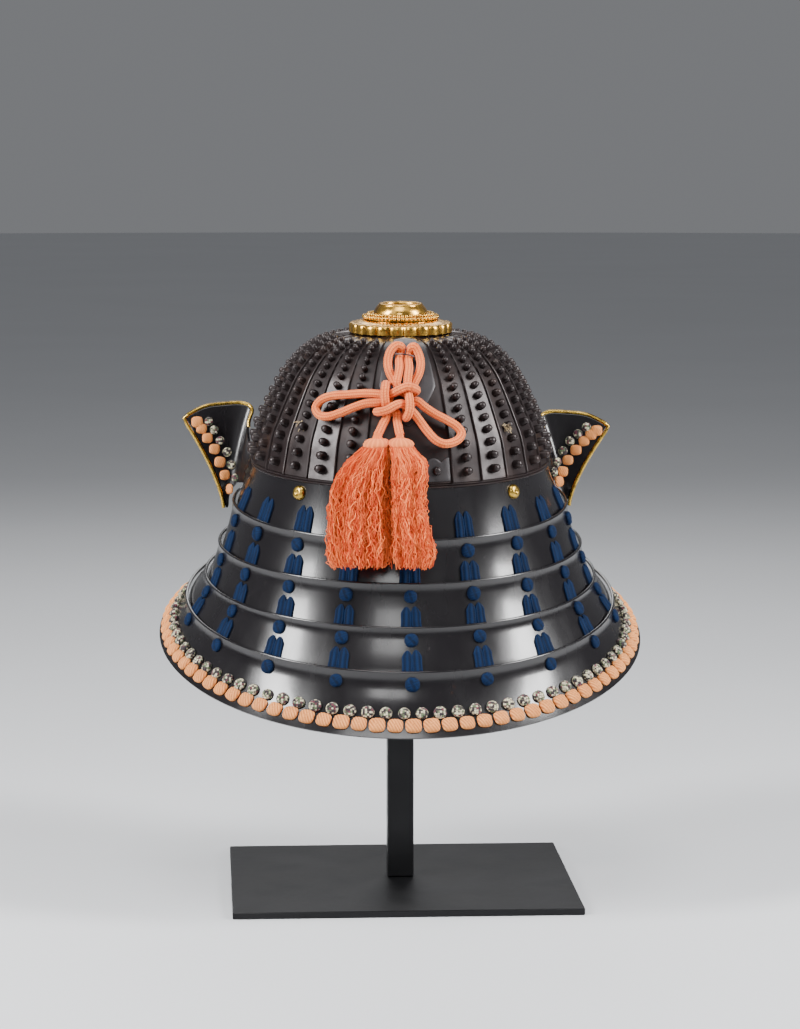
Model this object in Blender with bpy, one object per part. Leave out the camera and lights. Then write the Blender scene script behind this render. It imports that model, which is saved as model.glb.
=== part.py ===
"""Star-riveted kabuto helmet on a plain metal stand, built as separate closed solids.

Frame: metres, +Z up, origin on the floor under the post's axis. The back of the helmet faces -Y,
which is the side that the bow hangs on, and the peak faces +Y. "Left" is the -X side.
Angles round the helmet are measured from the middle of the back, positive towards +X.
"""
import bisect
import math
from collections import namedtuple

import bmesh
import bpy
from mathutils import Vector

MM = 0.001
DEG = math.pi / 180
GAP = 0.3 * MM  # clearance between pieces that touch

# Stand
PLATE_WIDTH = 262 * MM
PLATE_DEPTH = 236 * MM
PLATE_THICKNESS = 5 * MM
PLATE_SET_BACK = 6 * MM  # how far the plate's middle lies behind the post
PLATE_BEVEL = 0.6 * MM
POST_SIDE = 20 * MM
POST_BEVEL = 0.8 * MM
HEAD_DEPTH = 14 * MM
HEAD_SIDES = 24

# Bowl
BOWL_HALF_WIDTH = 112 * MM
BOWL_HALF_DEPTH = 119.5 * MM
BOWL_HEIGHT = 96 * MM
BOWL_WALL = 2 * MM
BOWL_TILT = 0.065  # rise per metre forward, at the bowl's lower edge
CROWN_TILT = 0.03  # the same at the crown
CROWN_SET_BACK = 8 * MM
PLATE_LAP = 1.1 * MM  # how far each plate's edge stands over the next plate
WIDE_PLATE_ANGLE = 17 * DEG  # half the angle that the wide plates at the back and front take
NARROW_PLATES = 12  # on each side, between the wide ones
RIDGE_ANGLE = 0.5 * DEG

# Columns: share of the bowl's height, share of its half width and half depth.
BOWL_PROFILE = (
    (0.00, 1.000), (0.10, 0.981), (0.25, 0.952), (0.40, 0.897), (0.55, 0.836), (0.70, 0.765),
    (0.80, 0.697), (0.88, 0.625), (0.94, 0.535), (0.98, 0.420), (1.00, 0.300),
)
BOWL_OUTER_ROWS = (0.0, 0.14, 0.30, 0.46, 0.62, 0.76, 0.87, 0.94, 0.98, 1.0)
BOWL_INNER_ROWS = (0.0, 0.30, 0.58, 0.80, 0.92, 0.97, 1.0)

# Waist band, whose ledge carries the bowl and whose skirt carries the first neck lame
RIM_HEIGHT = 319 * MM  # the ledge's underside at the middle of the back
RIM_SET_IN = 0.78 * MM  # how much less its half depth is than the bowl's
LEDGE_REACH = 1.8 * MM
LEDGE_THICKNESS = 3.5 * MM
BAND_WALL = 2 * MM
BAND_DROP = 22 * MM
BAND_STEPS = 48

# Neck guard: its own half width, drop and rise run from the ledge to the bottom edge
GUARD_HALF_WIDTH = 183 * MM
GUARD_DROP = 174.3 * MM
GUARD_RISE = 52.1 * MM  # how much higher the bottom edge lies at the sides than at the back
GUARD_DEPTH_RATIO = 0.97
LAME_WALL = 1.8 * MM
LAME_GAP = 0.8 * MM  # clearance between a lame and the bead that lies on it
LAME_OVERLAP = 4 * MM  # how far a lame runs down behind the next one
LAME_HOLLOW = 0.7 * MM  # how far its middle lies behind a straight flare
BEAD_RADIUS = 1.8 * MM  # rolled upper edge of lames 2 to 5
LAME_END = 118 * DEG
LAME_ROWS = 4  # top, middle, meeting line and hidden tail
LAME_STEP = 6 * DEG

GuardRing = namedtuple("GuardRing", "drop spread rise depth")
# Shares of the neck guard's drop, of its widening, of its extra rise and of its change of depth ratio.
GUARD_RINGS = (
    GuardRing(0.000, 0.000, 0.000, 0.00),
    GuardRing(0.217, 0.223, 0.207, 0.83),
    GuardRing(0.393, 0.380, 0.200, 1.00),
    GuardRing(0.570, 0.534, 0.347, 1.00),
    GuardRing(0.746, 0.741, 0.642, 1.00),
    GuardRing(1.000, 1.000, 1.000, 1.00),
)

# Turn-backs: the first lame's front ends, folded outwards
WING_ANGLE = 105 * DEG  # where the fold starts
WING_SPREAD = 55 * MM
WING_TURN = 20 * MM
WING_HEIGHT = 64 * MM
WING_DROOP = 8 * MM  # the right wing's outer corner hangs this much lower
WING_FLARE = 1.25
WingColumn = namedtuple("WingColumn", "top_out top_on top_up foot_out foot_on foot_up")
# Shares of the wing's spread (out), turn (on, which is forward) and height (up) from the fold's foot.
WING_COLUMNS = (
    WingColumn(-0.120, 0.00, 0.40, -0.010, 0.00, 0.070),
    WingColumn(-0.060, 0.45, 0.74, 0.050, 0.35, 0.080),
    WingColumn(-0.110, 0.80, 0.93, 0.110, 0.58, 0.060),
    WingColumn(-0.010, 0.95, 1.00, 0.185, 0.65, -0.080),
    WingColumn(0.230, 0.88, 1.00, 0.200, 0.65, -0.200),
    WingColumn(0.520, 0.70, 0.97, 0.220, 0.62, -0.235),
    WingColumn(0.790, 0.50, 0.86, 0.235, 0.60, -0.230),
)
WING_RIM_RADIUS = 1.3 * MM
WING_CORNER = 1.45  # how much further out the rim runs round the wing's corner

# Peak
PEAK_HALF_ANGLE = 52 * DEG
PEAK_REACH = 42 * MM
PEAK_END_REACH = 5 * MM
PEAK_SLOPE = 0.35
PEAK_WALL = 2 * MM
PEAK_RIM_RADIUS = 1.4 * MM

# Crown ornament, from below: fluted flange, beaded plate, collar round the opening
FLANGE_RADIUS = 39.3 * MM
FLANGE_HEIGHT = 7.8 * MM
FLANGE_WALL = 1.5 * MM
FLANGE_FLUTES = 22
FLUTE_DEPTH = 1.3 * MM
BEAD_PLATE_RADIUS = 30 * MM
BEAD_PLATE_THICKNESS = 3.2 * MM
BEAD_PLATE_CHAMFER = 4 * MM
COLLAR_RADIUS = 19.5 * MM
COLLAR_THICKNESS = 5.5 * MM
COLLAR_HEIGHT = 7.5 * MM
CROWN_DOME = 2.4 * MM  # how far the flange's plate rises from its edge to the opening

# Bow plate, ring and the two visible brass rivets
BOW_TABLE_DEPTH = 119.5 * MM  # the bowl's half depth that the bow's points below were chosen on
BOW_PLATE_WIDTH = 20 * MM
BOW_PLATE_TOP = 0.985  # shares of the bowl's height
BOW_PLATE_FOOT = 0.930
BOW_PLATE_THICKNESS = 1.2 * MM
BOW_RING_WIRE = 0.6 * MM
# The ring's bar between the bow's strands, in millimetres, from one foot on the bowl to the other
BOW_RING_ROUTE = (
    (-8.8, -84.9, 415.2), (-8.8, -87.9, 415.6), (-7.7, -90.9, 416.0), (-2.1, -91.6, 415.9),
    (4.0, -91.3, 414.7), (5.4, -88.8, 413.2), (5.5, -86.6, 412.6),
)
BOW_RING_STEPS = 16
RIVET_RADIUS = 5.6 * MM
RIVET_HEIGHT = 3.4 * MM
RIVET_ANGLE = 43.6 * DEG
RIVET_DROP = 8 * MM
RIVET_LIFT = GAP + 0.14 * MM  # clears the lame's hollow face

# Bow cords. Points in millimetres, chosen along the knot, from the ring side to the tassel.
CORD_RADIUS = 3.0 * MM
CORD_STEPS = 66
CORD_LEFT_ROUTE = (
    (-9.7, -99.5, 394.8), (-10.8, -97.6, 398.0), (-13.0, -94.9, 402.5), (-14.1, -91.8, 407.9),
    (-13.7, -89.4, 413.3), (-11.5, -87.9, 418.8), (-7.6, -86.9, 422.1), (-3.8, -85.7, 420.8),
    (-4.4, -83.9, 416.5), (-5.6, -88.5, 411.6), (-5.8, -95.1, 405.7), (-7.5, -103.4, 399.9),
    (-8.5, -106.8, 395.0), (-6.4, -105.4, 390.5), (-2.3, -103.1, 388.3), (2.5, -103.4, 387.6),
    (6.0, -108.1, 390.5), (2.1, -115.5, 393.5), (-2.2, -115.2, 393.6), (-7.4, -115.6, 391.6),
    (-12.0, -112.1, 388.7), (-16.6, -109.0, 387.6), (-20.9, -108.1, 387.9), (-31.0, -103.6, 388.1),
    (-43.5, -97.7, 386.8), (-55.3, -91.4, 385.4), (-63.2, -87.8, 381.9), (-67.2, -87.5, 376.3),
    (-64.5, -91.9, 371.2), (-57.9, -97.0, 370.7), (-49.3, -100.9, 373.7), (-39.8, -104.2, 377.9),
    (-31.2, -107.2, 381.0), (-21.0, -109.4, 381.9), (-16.4, -106.0, 381.7), (-13.7, -103.7, 385.2),
    (-15.6, -100.9, 390.2), (-16.4, -105.4, 394.9), (-17.4, -114.0, 392.3), (-17.8, -116.1, 388.2),
    (-17.4, -116.2, 383.5), (-16.4, -113.7, 377.8), (-16.5, -115.1, 371.4), (-19.4, -117.9, 366.1),
    (-22.0, -121.1, 361.3), (-23.4, -122.3, 359.0),
)
CORD_RIGHT_ROUTE = (
    (4.2, -100.4, 394.0), (6.1, -98.6, 397.5), (8.7, -95.7, 402.4), (10.0, -91.9, 408.6),
    (9.3, -89.4, 414.0), (7.5, -88.2, 418.7), (5.6, -88.2, 421.2), (3.2, -86.9, 420.3),
    (2.5, -84.6, 416.2), (1.2, -88.7, 411.6), (1.2, -95.3, 405.7), (0.0, -103.7, 399.9),
    (-0.6, -107.2, 395.0), (-1.0, -110.0, 390.0), (0.0, -115.4, 386.9), (0.5, -119.8, 382.1),
    (0.2, -121.6, 377.5), (-0.9, -120.5, 373.6), (-2.3, -116.6, 371.3), (-1.9, -109.0, 374.2),
    (1.8, -107.4, 379.8), (6.0, -111.3, 382.9), (11.5, -112.0, 378.8), (19.5, -111.9, 373.4),
    (27.5, -111.7, 369.2), (35.1, -111.2, 364.4), (38.8, -112.2, 358.9), (35.2, -115.6, 354.1),
    (27.0, -118.7, 352.0), (19.8, -119.3, 354.7), (13.5, -117.7, 361.2), (8.0, -116.4, 368.6),
    (3.7, -115.9, 374.2), (-0.2, -114.6, 378.1), (-4.8, -115.2, 381.2), (-9.6, -119.6, 380.9),
    (-16.0, -120.6, 377.6), (-20.7, -119.5, 376.1), (-23.3, -111.9, 375.3), (-19.6, -106.5, 375.5),
    (-13.4, -108.3, 374.8), (-8.9, -114.1, 374.1), (-8.7, -117.1, 369.2), (-7.9, -122.2, 363.3),
    (-7.1, -125.0, 359.2),
)

# Tassels, hung on the cords' lower ends
TASSEL_LENGTH = 92 * MM
TASSEL_HALF_WIDTH = 23 * MM
TASSEL_HALF_DEPTH = 14 * MM
TASSEL_LEAN = 21 * MM  # how far the skirt's foot stands out behind its head
TASSEL_LOCKS = 7
TASSEL_LOCK_DEPTH = 0.09  # share of the skirt's radius
TASSEL_SIDES = 21
TasselRow = namedtuple("TasselRow", "drop left_aside left_width right_aside right_width depth")
# Shares of the tassel's length (drop), half width (aside and width) and half depth.
TASSEL_ROWS = (
    TasselRow(0.00, 0.00, 0.30, 0.00, 0.24, 0.50),
    TasselRow(0.04, -0.02, 0.38, 0.02, 0.37, 0.62),
    TasselRow(0.09, -0.10, 0.46, 0.07, 0.39, 0.72),
    TasselRow(0.20, -0.37, 0.70, 0.28, 0.56, 0.85),
    TasselRow(0.45, -0.62, 0.94, 0.22, 0.50, 0.96),
    TasselRow(0.72, -0.64, 0.98, 0.29, 0.56, 1.00),
    TasselRow(0.92, -0.64, 0.98, 0.37, 0.64, 0.98),
    TasselRow(1.00, -0.60, 0.84, 0.36, 0.52, 0.80),
)

# Colours: name, base colour, roughness, metallic
Finish = namedtuple("Finish", "name colour roughness metallic")
BLACK_STEEL = Finish("black_steel", (0.012, 0.012, 0.014), 0.45, 0.9)
RUSSET_IRON = Finish("russet_iron", (0.035, 0.024, 0.022), 0.42, 0.85)
BLACK_LACQUER = Finish("black_lacquer", (0.010, 0.008, 0.010), 0.22, 0.0)
GILT_BRASS = Finish("gilt_brass", (0.72, 0.48, 0.18), 0.32, 1.0)
GREY_IRON = Finish("grey_iron", (0.10, 0.10, 0.11), 0.5, 0.9)
SALMON_SILK = Finish("salmon_silk", (0.86, 0.32, 0.18), 0.8, 0.0)


def clear_scene():
    """Remove every object that the file holds."""
    for item in list(bpy.data.objects):
        bpy.data.objects.remove(item, do_unlink=True)


def material(finish):
    """Material of a finish, made once."""
    found = bpy.data.materials.get(finish.name)
    if found:
        return found
    made = bpy.data.materials.new(finish.name)
    made.use_nodes = True
    shader = made.node_tree.nodes["Principled BSDF"]
    shader.inputs["Base Color"].default_value = (*finish.colour, 1.0)
    shader.inputs["Roughness"].default_value = finish.roughness
    shader.inputs["Metallic"].default_value = finish.metallic
    return made


def add_object(name, data, finish):
    """Link an object that holds the data, with its finish."""
    item = bpy.data.objects.new(name, data)
    bpy.context.collection.objects.link(item)
    data.materials.append(material(finish))
    return item


def finish_mesh(name, built, finish, smooth_angle=40 * DEG):
    """Turn a bmesh into a named object with its faces pointing out and smooth shading."""
    bmesh.ops.recalc_face_normals(built, faces=built.faces)
    mesh = bpy.data.meshes.new(name)
    built.to_mesh(mesh)
    built.free()
    item = add_object(name, mesh, finish)
    mesh.shade_smooth()
    mesh.set_sharp_from_angle(angle=smooth_angle)
    return item


def loft(name, rings, finish, closed=False):
    """Skin rings of points in order; the ends are capped unless the last ring meets the first."""
    built = bmesh.new()
    loops = [[built.verts.new(point) for point in ring] for ring in rings]
    following = loops[1:] + ([loops[0]] if closed else [])
    for near, far in zip(loops, following):
        for i, vertex in enumerate(near):
            j = (i + 1) % len(near)
            built.faces.new((vertex, near[j], far[j], far[i]))
    if not closed:
        built.faces.new(loops[0])
        built.faces.new(loops[-1])
    return finish_mesh(name, built, finish)


def tube(name, points, radius, finish, sides_setting=2):
    """Round tube along points, as a curve with a bevel and filled caps."""
    curve = bpy.data.curves.new(name, "CURVE")
    curve.dimensions = "3D"
    curve.bevel_depth = radius
    curve.bevel_resolution = sides_setting
    curve.use_fill_caps = True
    spline = curve.splines.new("POLY")
    spline.points.add(len(points) - 1)
    for slot, point in zip(spline.points, points):
        slot.co = (*point, 1.0)
    return add_object(name, curve, finish)


def bevelled_box(name, size, centre, bevel, finish):
    """Box with its edges bevelled."""
    built = bmesh.new()
    bmesh.ops.create_cube(built, size=1.0)
    for vertex in built.verts:
        vertex.co = Vector(vertex.co[i] * size[i] + centre[i] for i in range(3))
    bmesh.ops.bevel(built, geom=built.edges[:], offset=bevel, segments=1, affect="EDGES")
    return finish_mesh(name, built, finish, 20 * DEG)


def smooth_value(rows, x):
    """Second column of a two-column table at x, on a cubic that never overshoots its rows."""
    xs, ys = zip(*rows)
    steps = [(ys[i + 1] - ys[i]) / (xs[i + 1] - xs[i]) for i in range(len(xs) - 1)]
    slopes = [steps[0]]
    for before, after in zip(steps, steps[1:]):
        slopes.append(2 * before * after / (before + after) if before * after > 0 else 0.0)
    slopes.append(steps[-1])
    i = min(max(bisect.bisect_right(xs, x) - 1, 0), len(xs) - 2)
    width = xs[i + 1] - xs[i]
    t = (x - xs[i]) / width
    start = ys[i] * (1 + 2 * t) * (1 - t) ** 2 + slopes[i] * width * t * (1 - t) ** 2
    end = ys[i + 1] * t * t * (3 - 2 * t) + slopes[i + 1] * width * t * t * (t - 1)
    return start + end


def bow_point(point):
    """Point of the bow from its table, in metres, which goes with the bowl's back."""
    x, y, z = (value * MM for value in point)
    return Vector((x, (y + CROWN_SET_BACK) * BOWL_HALF_DEPTH / BOW_TABLE_DEPTH - CROWN_SET_BACK, z))


def smooth_route(route, count):
    """Evenly spaced points on a smooth curve through a route of the bow."""
    knots = [bow_point(point) for point in route]
    knots = [2 * knots[0] - knots[1]] + knots + [2 * knots[-1] - knots[-2]]
    fine = []
    parts = 12
    for p0, p1, p2, p3 in zip(knots, knots[1:], knots[2:], knots[3:]):
        for k in range(parts):
            t = k / parts
            fine.append(0.5 * (2 * p1 + (p2 - p0) * t + (2 * p0 - 5 * p1 + 4 * p2 - p3) * t ** 2
                               + (3 * p1 - p0 - 3 * p2 + p3) * t ** 3))
    fine.append(knots[-2])
    runs = [0.0]
    for a, b in zip(fine, fine[1:]):
        runs.append(runs[-1] + (b - a).length)
    points = []
    for k in range(count):
        goal = runs[-1] * k / (count - 1)
        i = min(max(bisect.bisect_right(runs, goal) - 1, 0), len(fine) - 2)
        share = (goal - runs[i]) / (runs[i + 1] - runs[i])
        points.append(fine[i].lerp(fine[i + 1], share))
    return points


def ledge_underside():
    """Half width, half depth, height at the back and rise of the ledge's underside."""
    half_depth = BOWL_HALF_DEPTH - RIM_SET_IN
    return BOWL_HALF_WIDTH + LEDGE_REACH / 2, half_depth, RIM_HEIGHT, BOWL_TILT * half_depth


def bowl_base():
    """Height of the bowl's lower edge over the post, on top of the ledge."""
    _, _, height, rise = ledge_underside()
    return height + rise + LEDGE_THICKNESS + GAP


def bowl_point(share, angle, out=0.0):
    """Point of the bowl at a share of its height, moved off its surface by out."""
    spread = smooth_value(BOWL_PROFILE, share)
    step = 0.005
    change = smooth_value(BOWL_PROFILE, share + step) - smooth_value(BOWL_PROFILE, share - step)
    normal = Vector((BOWL_HEIGHT, -BOWL_HALF_WIDTH * change / (2 * step))).normalized() * out
    x = (BOWL_HALF_WIDTH * spread + normal.x) * math.sin(angle)
    y = -(BOWL_HALF_DEPTH * spread + normal.x) * math.cos(angle) - CROWN_SET_BACK * share ** 2
    tilt = BOWL_TILT + (CROWN_TILT - BOWL_TILT) * share ** 2
    return Vector((x, y, bowl_base() + BOWL_HEIGHT * share + normal.y + tilt * y))


def guard_point(ring, angle, out=0.0, up=0.0):
    """Point on one of the neck guard's rings, moved outwards and up."""
    top_width, top_depth, top_height, top_rise = ledge_underside()
    half_width = top_width + (GUARD_HALF_WIDTH - top_width) * ring.spread
    top_ratio = top_depth / top_width
    half_depth = half_width * (top_ratio + (GUARD_DEPTH_RATIO - top_ratio) * ring.depth)
    rise = top_rise + (GUARD_RISE - top_rise) * ring.rise
    height = top_height - GUARD_DROP * ring.drop + rise * (1 - math.cos(angle)) + up
    return Vector(((half_width + out) * math.sin(angle), -(half_depth + out) * math.cos(angle), height))


def ridge_angles():
    """Angles of the plates' edges on one side, from the wide back plate to the wide front plate."""
    pitch = (math.pi - 2 * WIDE_PLATE_ANGLE) / NARROW_PLATES
    return [WIDE_PLATE_ANGLE + pitch * i for i in range(NARROW_PLATES + 1)]


def bowl_columns():
    """Angle and lift of each column of the bowl, once round, with the plates lapped backwards."""
    half = [(0.0, PLATE_LAP), (WIDE_PLATE_ANGLE / 2, PLATE_LAP)]
    for angle in ridge_angles():
        half += [(angle - RIDGE_ANGLE, PLATE_LAP), (angle + RIDGE_ANGLE, 0.0)]
    half[-1] = (half[-1][0], PLATE_LAP / 2)
    half += [(math.pi - WIDE_PLATE_ANGLE / 2, PLATE_LAP / 2), (math.pi, PLATE_LAP / 2)]
    return half + [(-angle, lift) for angle, lift in reversed(half[1:-1])]


def add_stand():
    """Base plate, square post and the head that the bowl rests on."""
    bevelled_box("stand_plate", (PLATE_WIDTH, PLATE_DEPTH, PLATE_THICKNESS),
                 (0.0, -PLATE_SET_BACK, PLATE_THICKNESS / 2), PLATE_BEVEL, BLACK_STEEL)
    rings = [[bowl_point(share, 2 * math.pi * i / HEAD_SIDES, -BOWL_WALL - GAP) for i in range(HEAD_SIDES)]
             for share in BOWL_INNER_ROWS[-2:]]
    floor = min(point.z for point in rings[0]) - HEAD_DEPTH
    rings.insert(0, [Vector((point.x, point.y, floor)) for point in rings[0]])
    loft("stand_head", rings, BLACK_STEEL)
    foot = PLATE_THICKNESS + GAP
    top = floor - GAP
    bevelled_box("stand_post", (POST_SIDE, POST_SIDE, top - foot), (0.0, 0.0, (top + foot) / 2),
                 POST_BEVEL, BLACK_STEEL)


def add_bowl():
    """Bowl of lapped plates, open below and at the crown."""
    rings = []
    for angle, lift in bowl_columns():
        outer = [bowl_point(share, angle, lift) for share in BOWL_OUTER_ROWS]
        inner = [bowl_point(share, angle, -BOWL_WALL) for share in reversed(BOWL_INNER_ROWS)]
        rings.append(outer + inner)
    flat = bowl_base()
    for ring in rings:
        for point in (ring[0], ring[-1]):
            point.z = flat + BOWL_TILT * point.y
    loft("bowl", rings, RUSSET_IRON, closed=True)


def add_waist_band():
    """Band round the bowl's lower edge, with the ledge above and the skirt below."""
    skirt_out = -LAME_WALL - GAP
    skirt_in = skirt_out - BAND_WALL
    ledge_out = LEDGE_REACH / 2
    section = ((skirt_in, -BAND_DROP), (skirt_out, -BAND_DROP), (skirt_out, 0.0), (ledge_out, 0.0),
               (ledge_out, LEDGE_THICKNESS), (skirt_in, LEDGE_THICKNESS))
    rings = [[guard_point(GUARD_RINGS[0], 2 * math.pi * i / BAND_STEPS, out, up) for out, up in section]
             for i in range(BAND_STEPS)]
    loft("waist_band", rings, RUSSET_IRON, closed=True)


def lame_rows(upper, lower, following, angle, top_out, top_up, back=0.0):
    """Points of a lame from its top to the tail behind the next lame, set back from its outer face."""
    top = guard_point(upper, angle, top_out, top_up)
    tuck = -2 * BEAD_RADIUS - LAME_GAP - back
    meet = guard_point(lower, angle, tuck)
    middle = top.lerp(meet, 0.5)
    middle -= Vector((math.sin(angle), -math.cos(angle), 0)) * LAME_HOLLOW
    if following is None:
        return [top, middle, guard_point(lower, angle)]
    run = (guard_point(following, angle, tuck) - guard_point(lower, angle, -BEAD_RADIUS)).normalized()
    return [top, middle, meet, meet + run * LAME_OVERLAP]


def add_lower_lame(number):
    """Lame 2 to 5: a C-shaped sheet with a rolled bead along its upper edge."""
    upper, lower = GUARD_RINGS[number - 1], GUARD_RINGS[number]
    following = GUARD_RINGS[number + 1] if number + 1 < len(GUARD_RINGS) else None
    steps = round(2 * LAME_END / LAME_STEP)
    rings = []
    for i in range(steps + 1):
        angle = -LAME_END + 2 * LAME_END * i / steps
        outward = Vector((math.sin(angle), -math.cos(angle), 0))
        half_wall = outward * (LAME_WALL / 2)
        rows = lame_rows(upper, lower, following, angle, -BEAD_RADIUS, -BEAD_RADIUS, LAME_WALL / 2)
        centre = guard_point(upper, angle, -BEAD_RADIUS)
        bead = []
        for turn in (-35, 25, 90, 155, 215):
            across = outward * (BEAD_RADIUS * math.cos(turn * DEG))
            bead.append(centre + across + Vector((0, 0, BEAD_RADIUS * math.sin(turn * DEG))))
        outer = [point + half_wall * (2 if following is None and k == 2 else 1)
                 for k, point in enumerate(rows) if k > 0]
        inner = [point - half_wall for k, point in reversed(list(enumerate(rows))) if k > 0]
        rings.append(bead[::-1] + outer + inner)
    loft(f"neck_lame_{number}", rings, BLACK_LACQUER)


def wing_rows(side, rows):
    """Outer points of each column of a turn-back, from its top to its foot, and the fold's root."""
    lower = GUARD_RINGS[1]
    root = guard_point(lower, WING_ANGLE, -2 * BEAD_RADIUS - LAME_GAP)
    droop = WING_DROOP if side > 0 else 0.0
    columns = []
    for place in WING_COLUMNS:
        sag = droop * max(place.top_out, 0.0)
        top = root + Vector((WING_SPREAD * place.top_out, WING_TURN * place.top_on,
                             WING_HEIGHT * place.top_up - sag))
        foot = root + Vector((WING_SPREAD * place.foot_out, WING_TURN * place.foot_on,
                              WING_HEIGHT * place.foot_up))
        column = []
        for k in range(rows):
            t = 1 - k / (rows - 1)
            across = t ** WING_FLARE
            column.append(Vector((foot.x + (top.x - foot.x) * across, foot.y + (top.y - foot.y) * t,
                                  foot.z + (top.z - foot.z) * t)))
        columns.append(column)
    return columns


def plan_normals(columns):
    """Level direction square to a run of columns, pointing away from the head."""
    normals = []
    for i in range(len(columns)):
        before = columns[max(i - 1, 0)]
        after = columns[min(i + 1, len(columns) - 1)]
        middle = len(before) // 2
        run = after[middle] - before[middle]
        normals.append(Vector((run.y, -run.x, 0)).normalized())
    return normals


def first_lame_half(side):
    """Columns of the first lame from the back to one wing's outer edge, built for +X."""
    upper, lower, following = GUARD_RINGS[0], GUARD_RINGS[1], GUARD_RINGS[2]
    columns = []
    steps = round((WING_ANGLE - LAME_STEP) / LAME_STEP)
    for i in range(steps + 1):
        angle = (WING_ANGLE - LAME_STEP) * i / steps
        columns.append(lame_rows(upper, lower, following, angle, 0.0, -GAP))
    return columns + wing_rows(side, LAME_ROWS)


def add_first_lame():
    """First lame, riveted to the waist band, with its front ends turned back into wings."""
    halves = {}
    for side in (-1, 1):
        columns = first_lame_half(side)
        rings = []
        for column, normal in zip(columns, plan_normals(columns)):
            inner = [point - normal * LAME_WALL for point in reversed(column)]
            rings.append([Vector((side * point.x, point.y, point.z)) for point in column + inner])
        halves[side] = rings
    loft("neck_lame_1", halves[-1][:0:-1] + halves[1], BLACK_LACQUER)


def add_wing_rim(side):
    """Brass rim along a wing's outer and upper edges."""
    columns = wing_rows(side, LAME_ROWS)
    normals = plan_normals(columns)
    edge = [(point, normals[-1]) for point in reversed(columns[-1])]
    edge += [(column[0], normal) for column, normal in list(zip(columns, normals))[-2:1:-1]]
    reach = WING_RIM_RADIUS + 4 * GAP
    path = []
    for i, (point, normal) in enumerate(edge):
        before = edge[max(i - 1, 0)][0]
        after = edge[min(i + 1, len(edge) - 1)][0]
        away = (after - before).normalized().cross(normal).normalized()
        if i == len(columns[-1]) - 1:
            away *= WING_CORNER
        path.append(point - normal * (LAME_WALL / 2) + away * reach)
    path = [Vector((side * point.x, point.y, point.z)) for point in path]
    tube(f"wing_rim_{'right' if side > 0 else 'left'}", path, WING_RIM_RADIUS, GILT_BRASS)


def peak_edge(angle, out, drop=0.0):
    """Point of the peak at a distance out from the waist band."""
    ledge_out = LEDGE_REACH / 2
    return guard_point(GUARD_RINGS[0], angle, ledge_out + GAP + out, -PEAK_SLOPE * out - drop)


def peak_reach(share):
    """How far the peak stands out, from its middle (share 0) to its ends (share 1)."""
    return PEAK_END_REACH + (PEAK_REACH - PEAK_END_REACH) * math.cos(share * math.pi / 2) ** 0.7


def add_peak():
    """Plain peak at the front with a brass rim."""
    steps = 16
    rings = []
    edge = []
    for i in range(steps + 1):
        share = -1 + 2 * i / steps
        angle = math.pi + PEAK_HALF_ANGLE * share
        reach = peak_reach(abs(share))
        rings.append([peak_edge(angle, 0.0), peak_edge(angle, reach / 2, -PEAK_WALL),
                      peak_edge(angle, reach), peak_edge(angle, reach, PEAK_WALL),
                      peak_edge(angle, reach / 2, 0.0), peak_edge(angle, 0.0, PEAK_WALL)])
        if 2 <= i <= steps - 2:
            edge.append(peak_edge(angle, reach + PEAK_RIM_RADIUS + 2 * GAP, PEAK_WALL / 2))
    loft("peak", rings, BLACK_LACQUER)
    tube("peak_rim", edge, PEAK_RIM_RADIUS, GILT_BRASS)


def share_at(spread):
    """Share of the bowl's height at which it is as narrow as the given share of its half width."""
    low, high = 0.0, 1.0
    for _ in range(30):
        middle = (low + high) / 2
        if smooth_value(BOWL_PROFILE, middle) > spread:
            low = middle
        else:
            high = middle
    return low


def crown_foot():
    """Height of the flange's foot, which rests on the bowl's plates."""
    inner = (FLANGE_RADIUS - FLUTE_DEPTH - FLANGE_WALL) / BOWL_HALF_DEPTH
    share = share_at(inner)
    heights = []
    for i in range(24):
        point = bowl_point(share, 2 * math.pi * i / 24, PLATE_LAP)
        heights.append(point.z - CROWN_TILT * (point.y + CROWN_SET_BACK))
    return max(heights) + GAP


def crown_ring(radius, height, sides, flute=0.0):
    """Ring of points round the crown's axis, at a height over the crown ornament's foot."""
    foot = crown_foot()
    points = []
    for i in range(sides):
        angle = 2 * math.pi * i / sides
        reach = radius - flute * (i % 2)
        x, y = reach * math.sin(angle), -reach * math.cos(angle)
        points.append(Vector((x, y - CROWN_SET_BACK, foot + height + CROWN_TILT * y)))
    return points


def turned(name, profile, sides, finish, flute_rows=0):
    """Body turned round the crown's axis; the first rows of its profile can be fluted."""
    rings = [crown_ring(radius, height, sides, FLUTE_DEPTH if k < flute_rows else 0.0)
             for k, (radius, height) in enumerate(profile)]
    built = bmesh.new()
    loops = [[built.verts.new(point) for point in ring] for ring in rings]
    for near, far in zip(loops, loops[1:] + loops[:1]):
        for i, vertex in enumerate(near):
            j = (i + 1) % sides
            built.faces.new((vertex, near[j], far[j], far[i]))
    return finish_mesh(name, built, finish)


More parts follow.
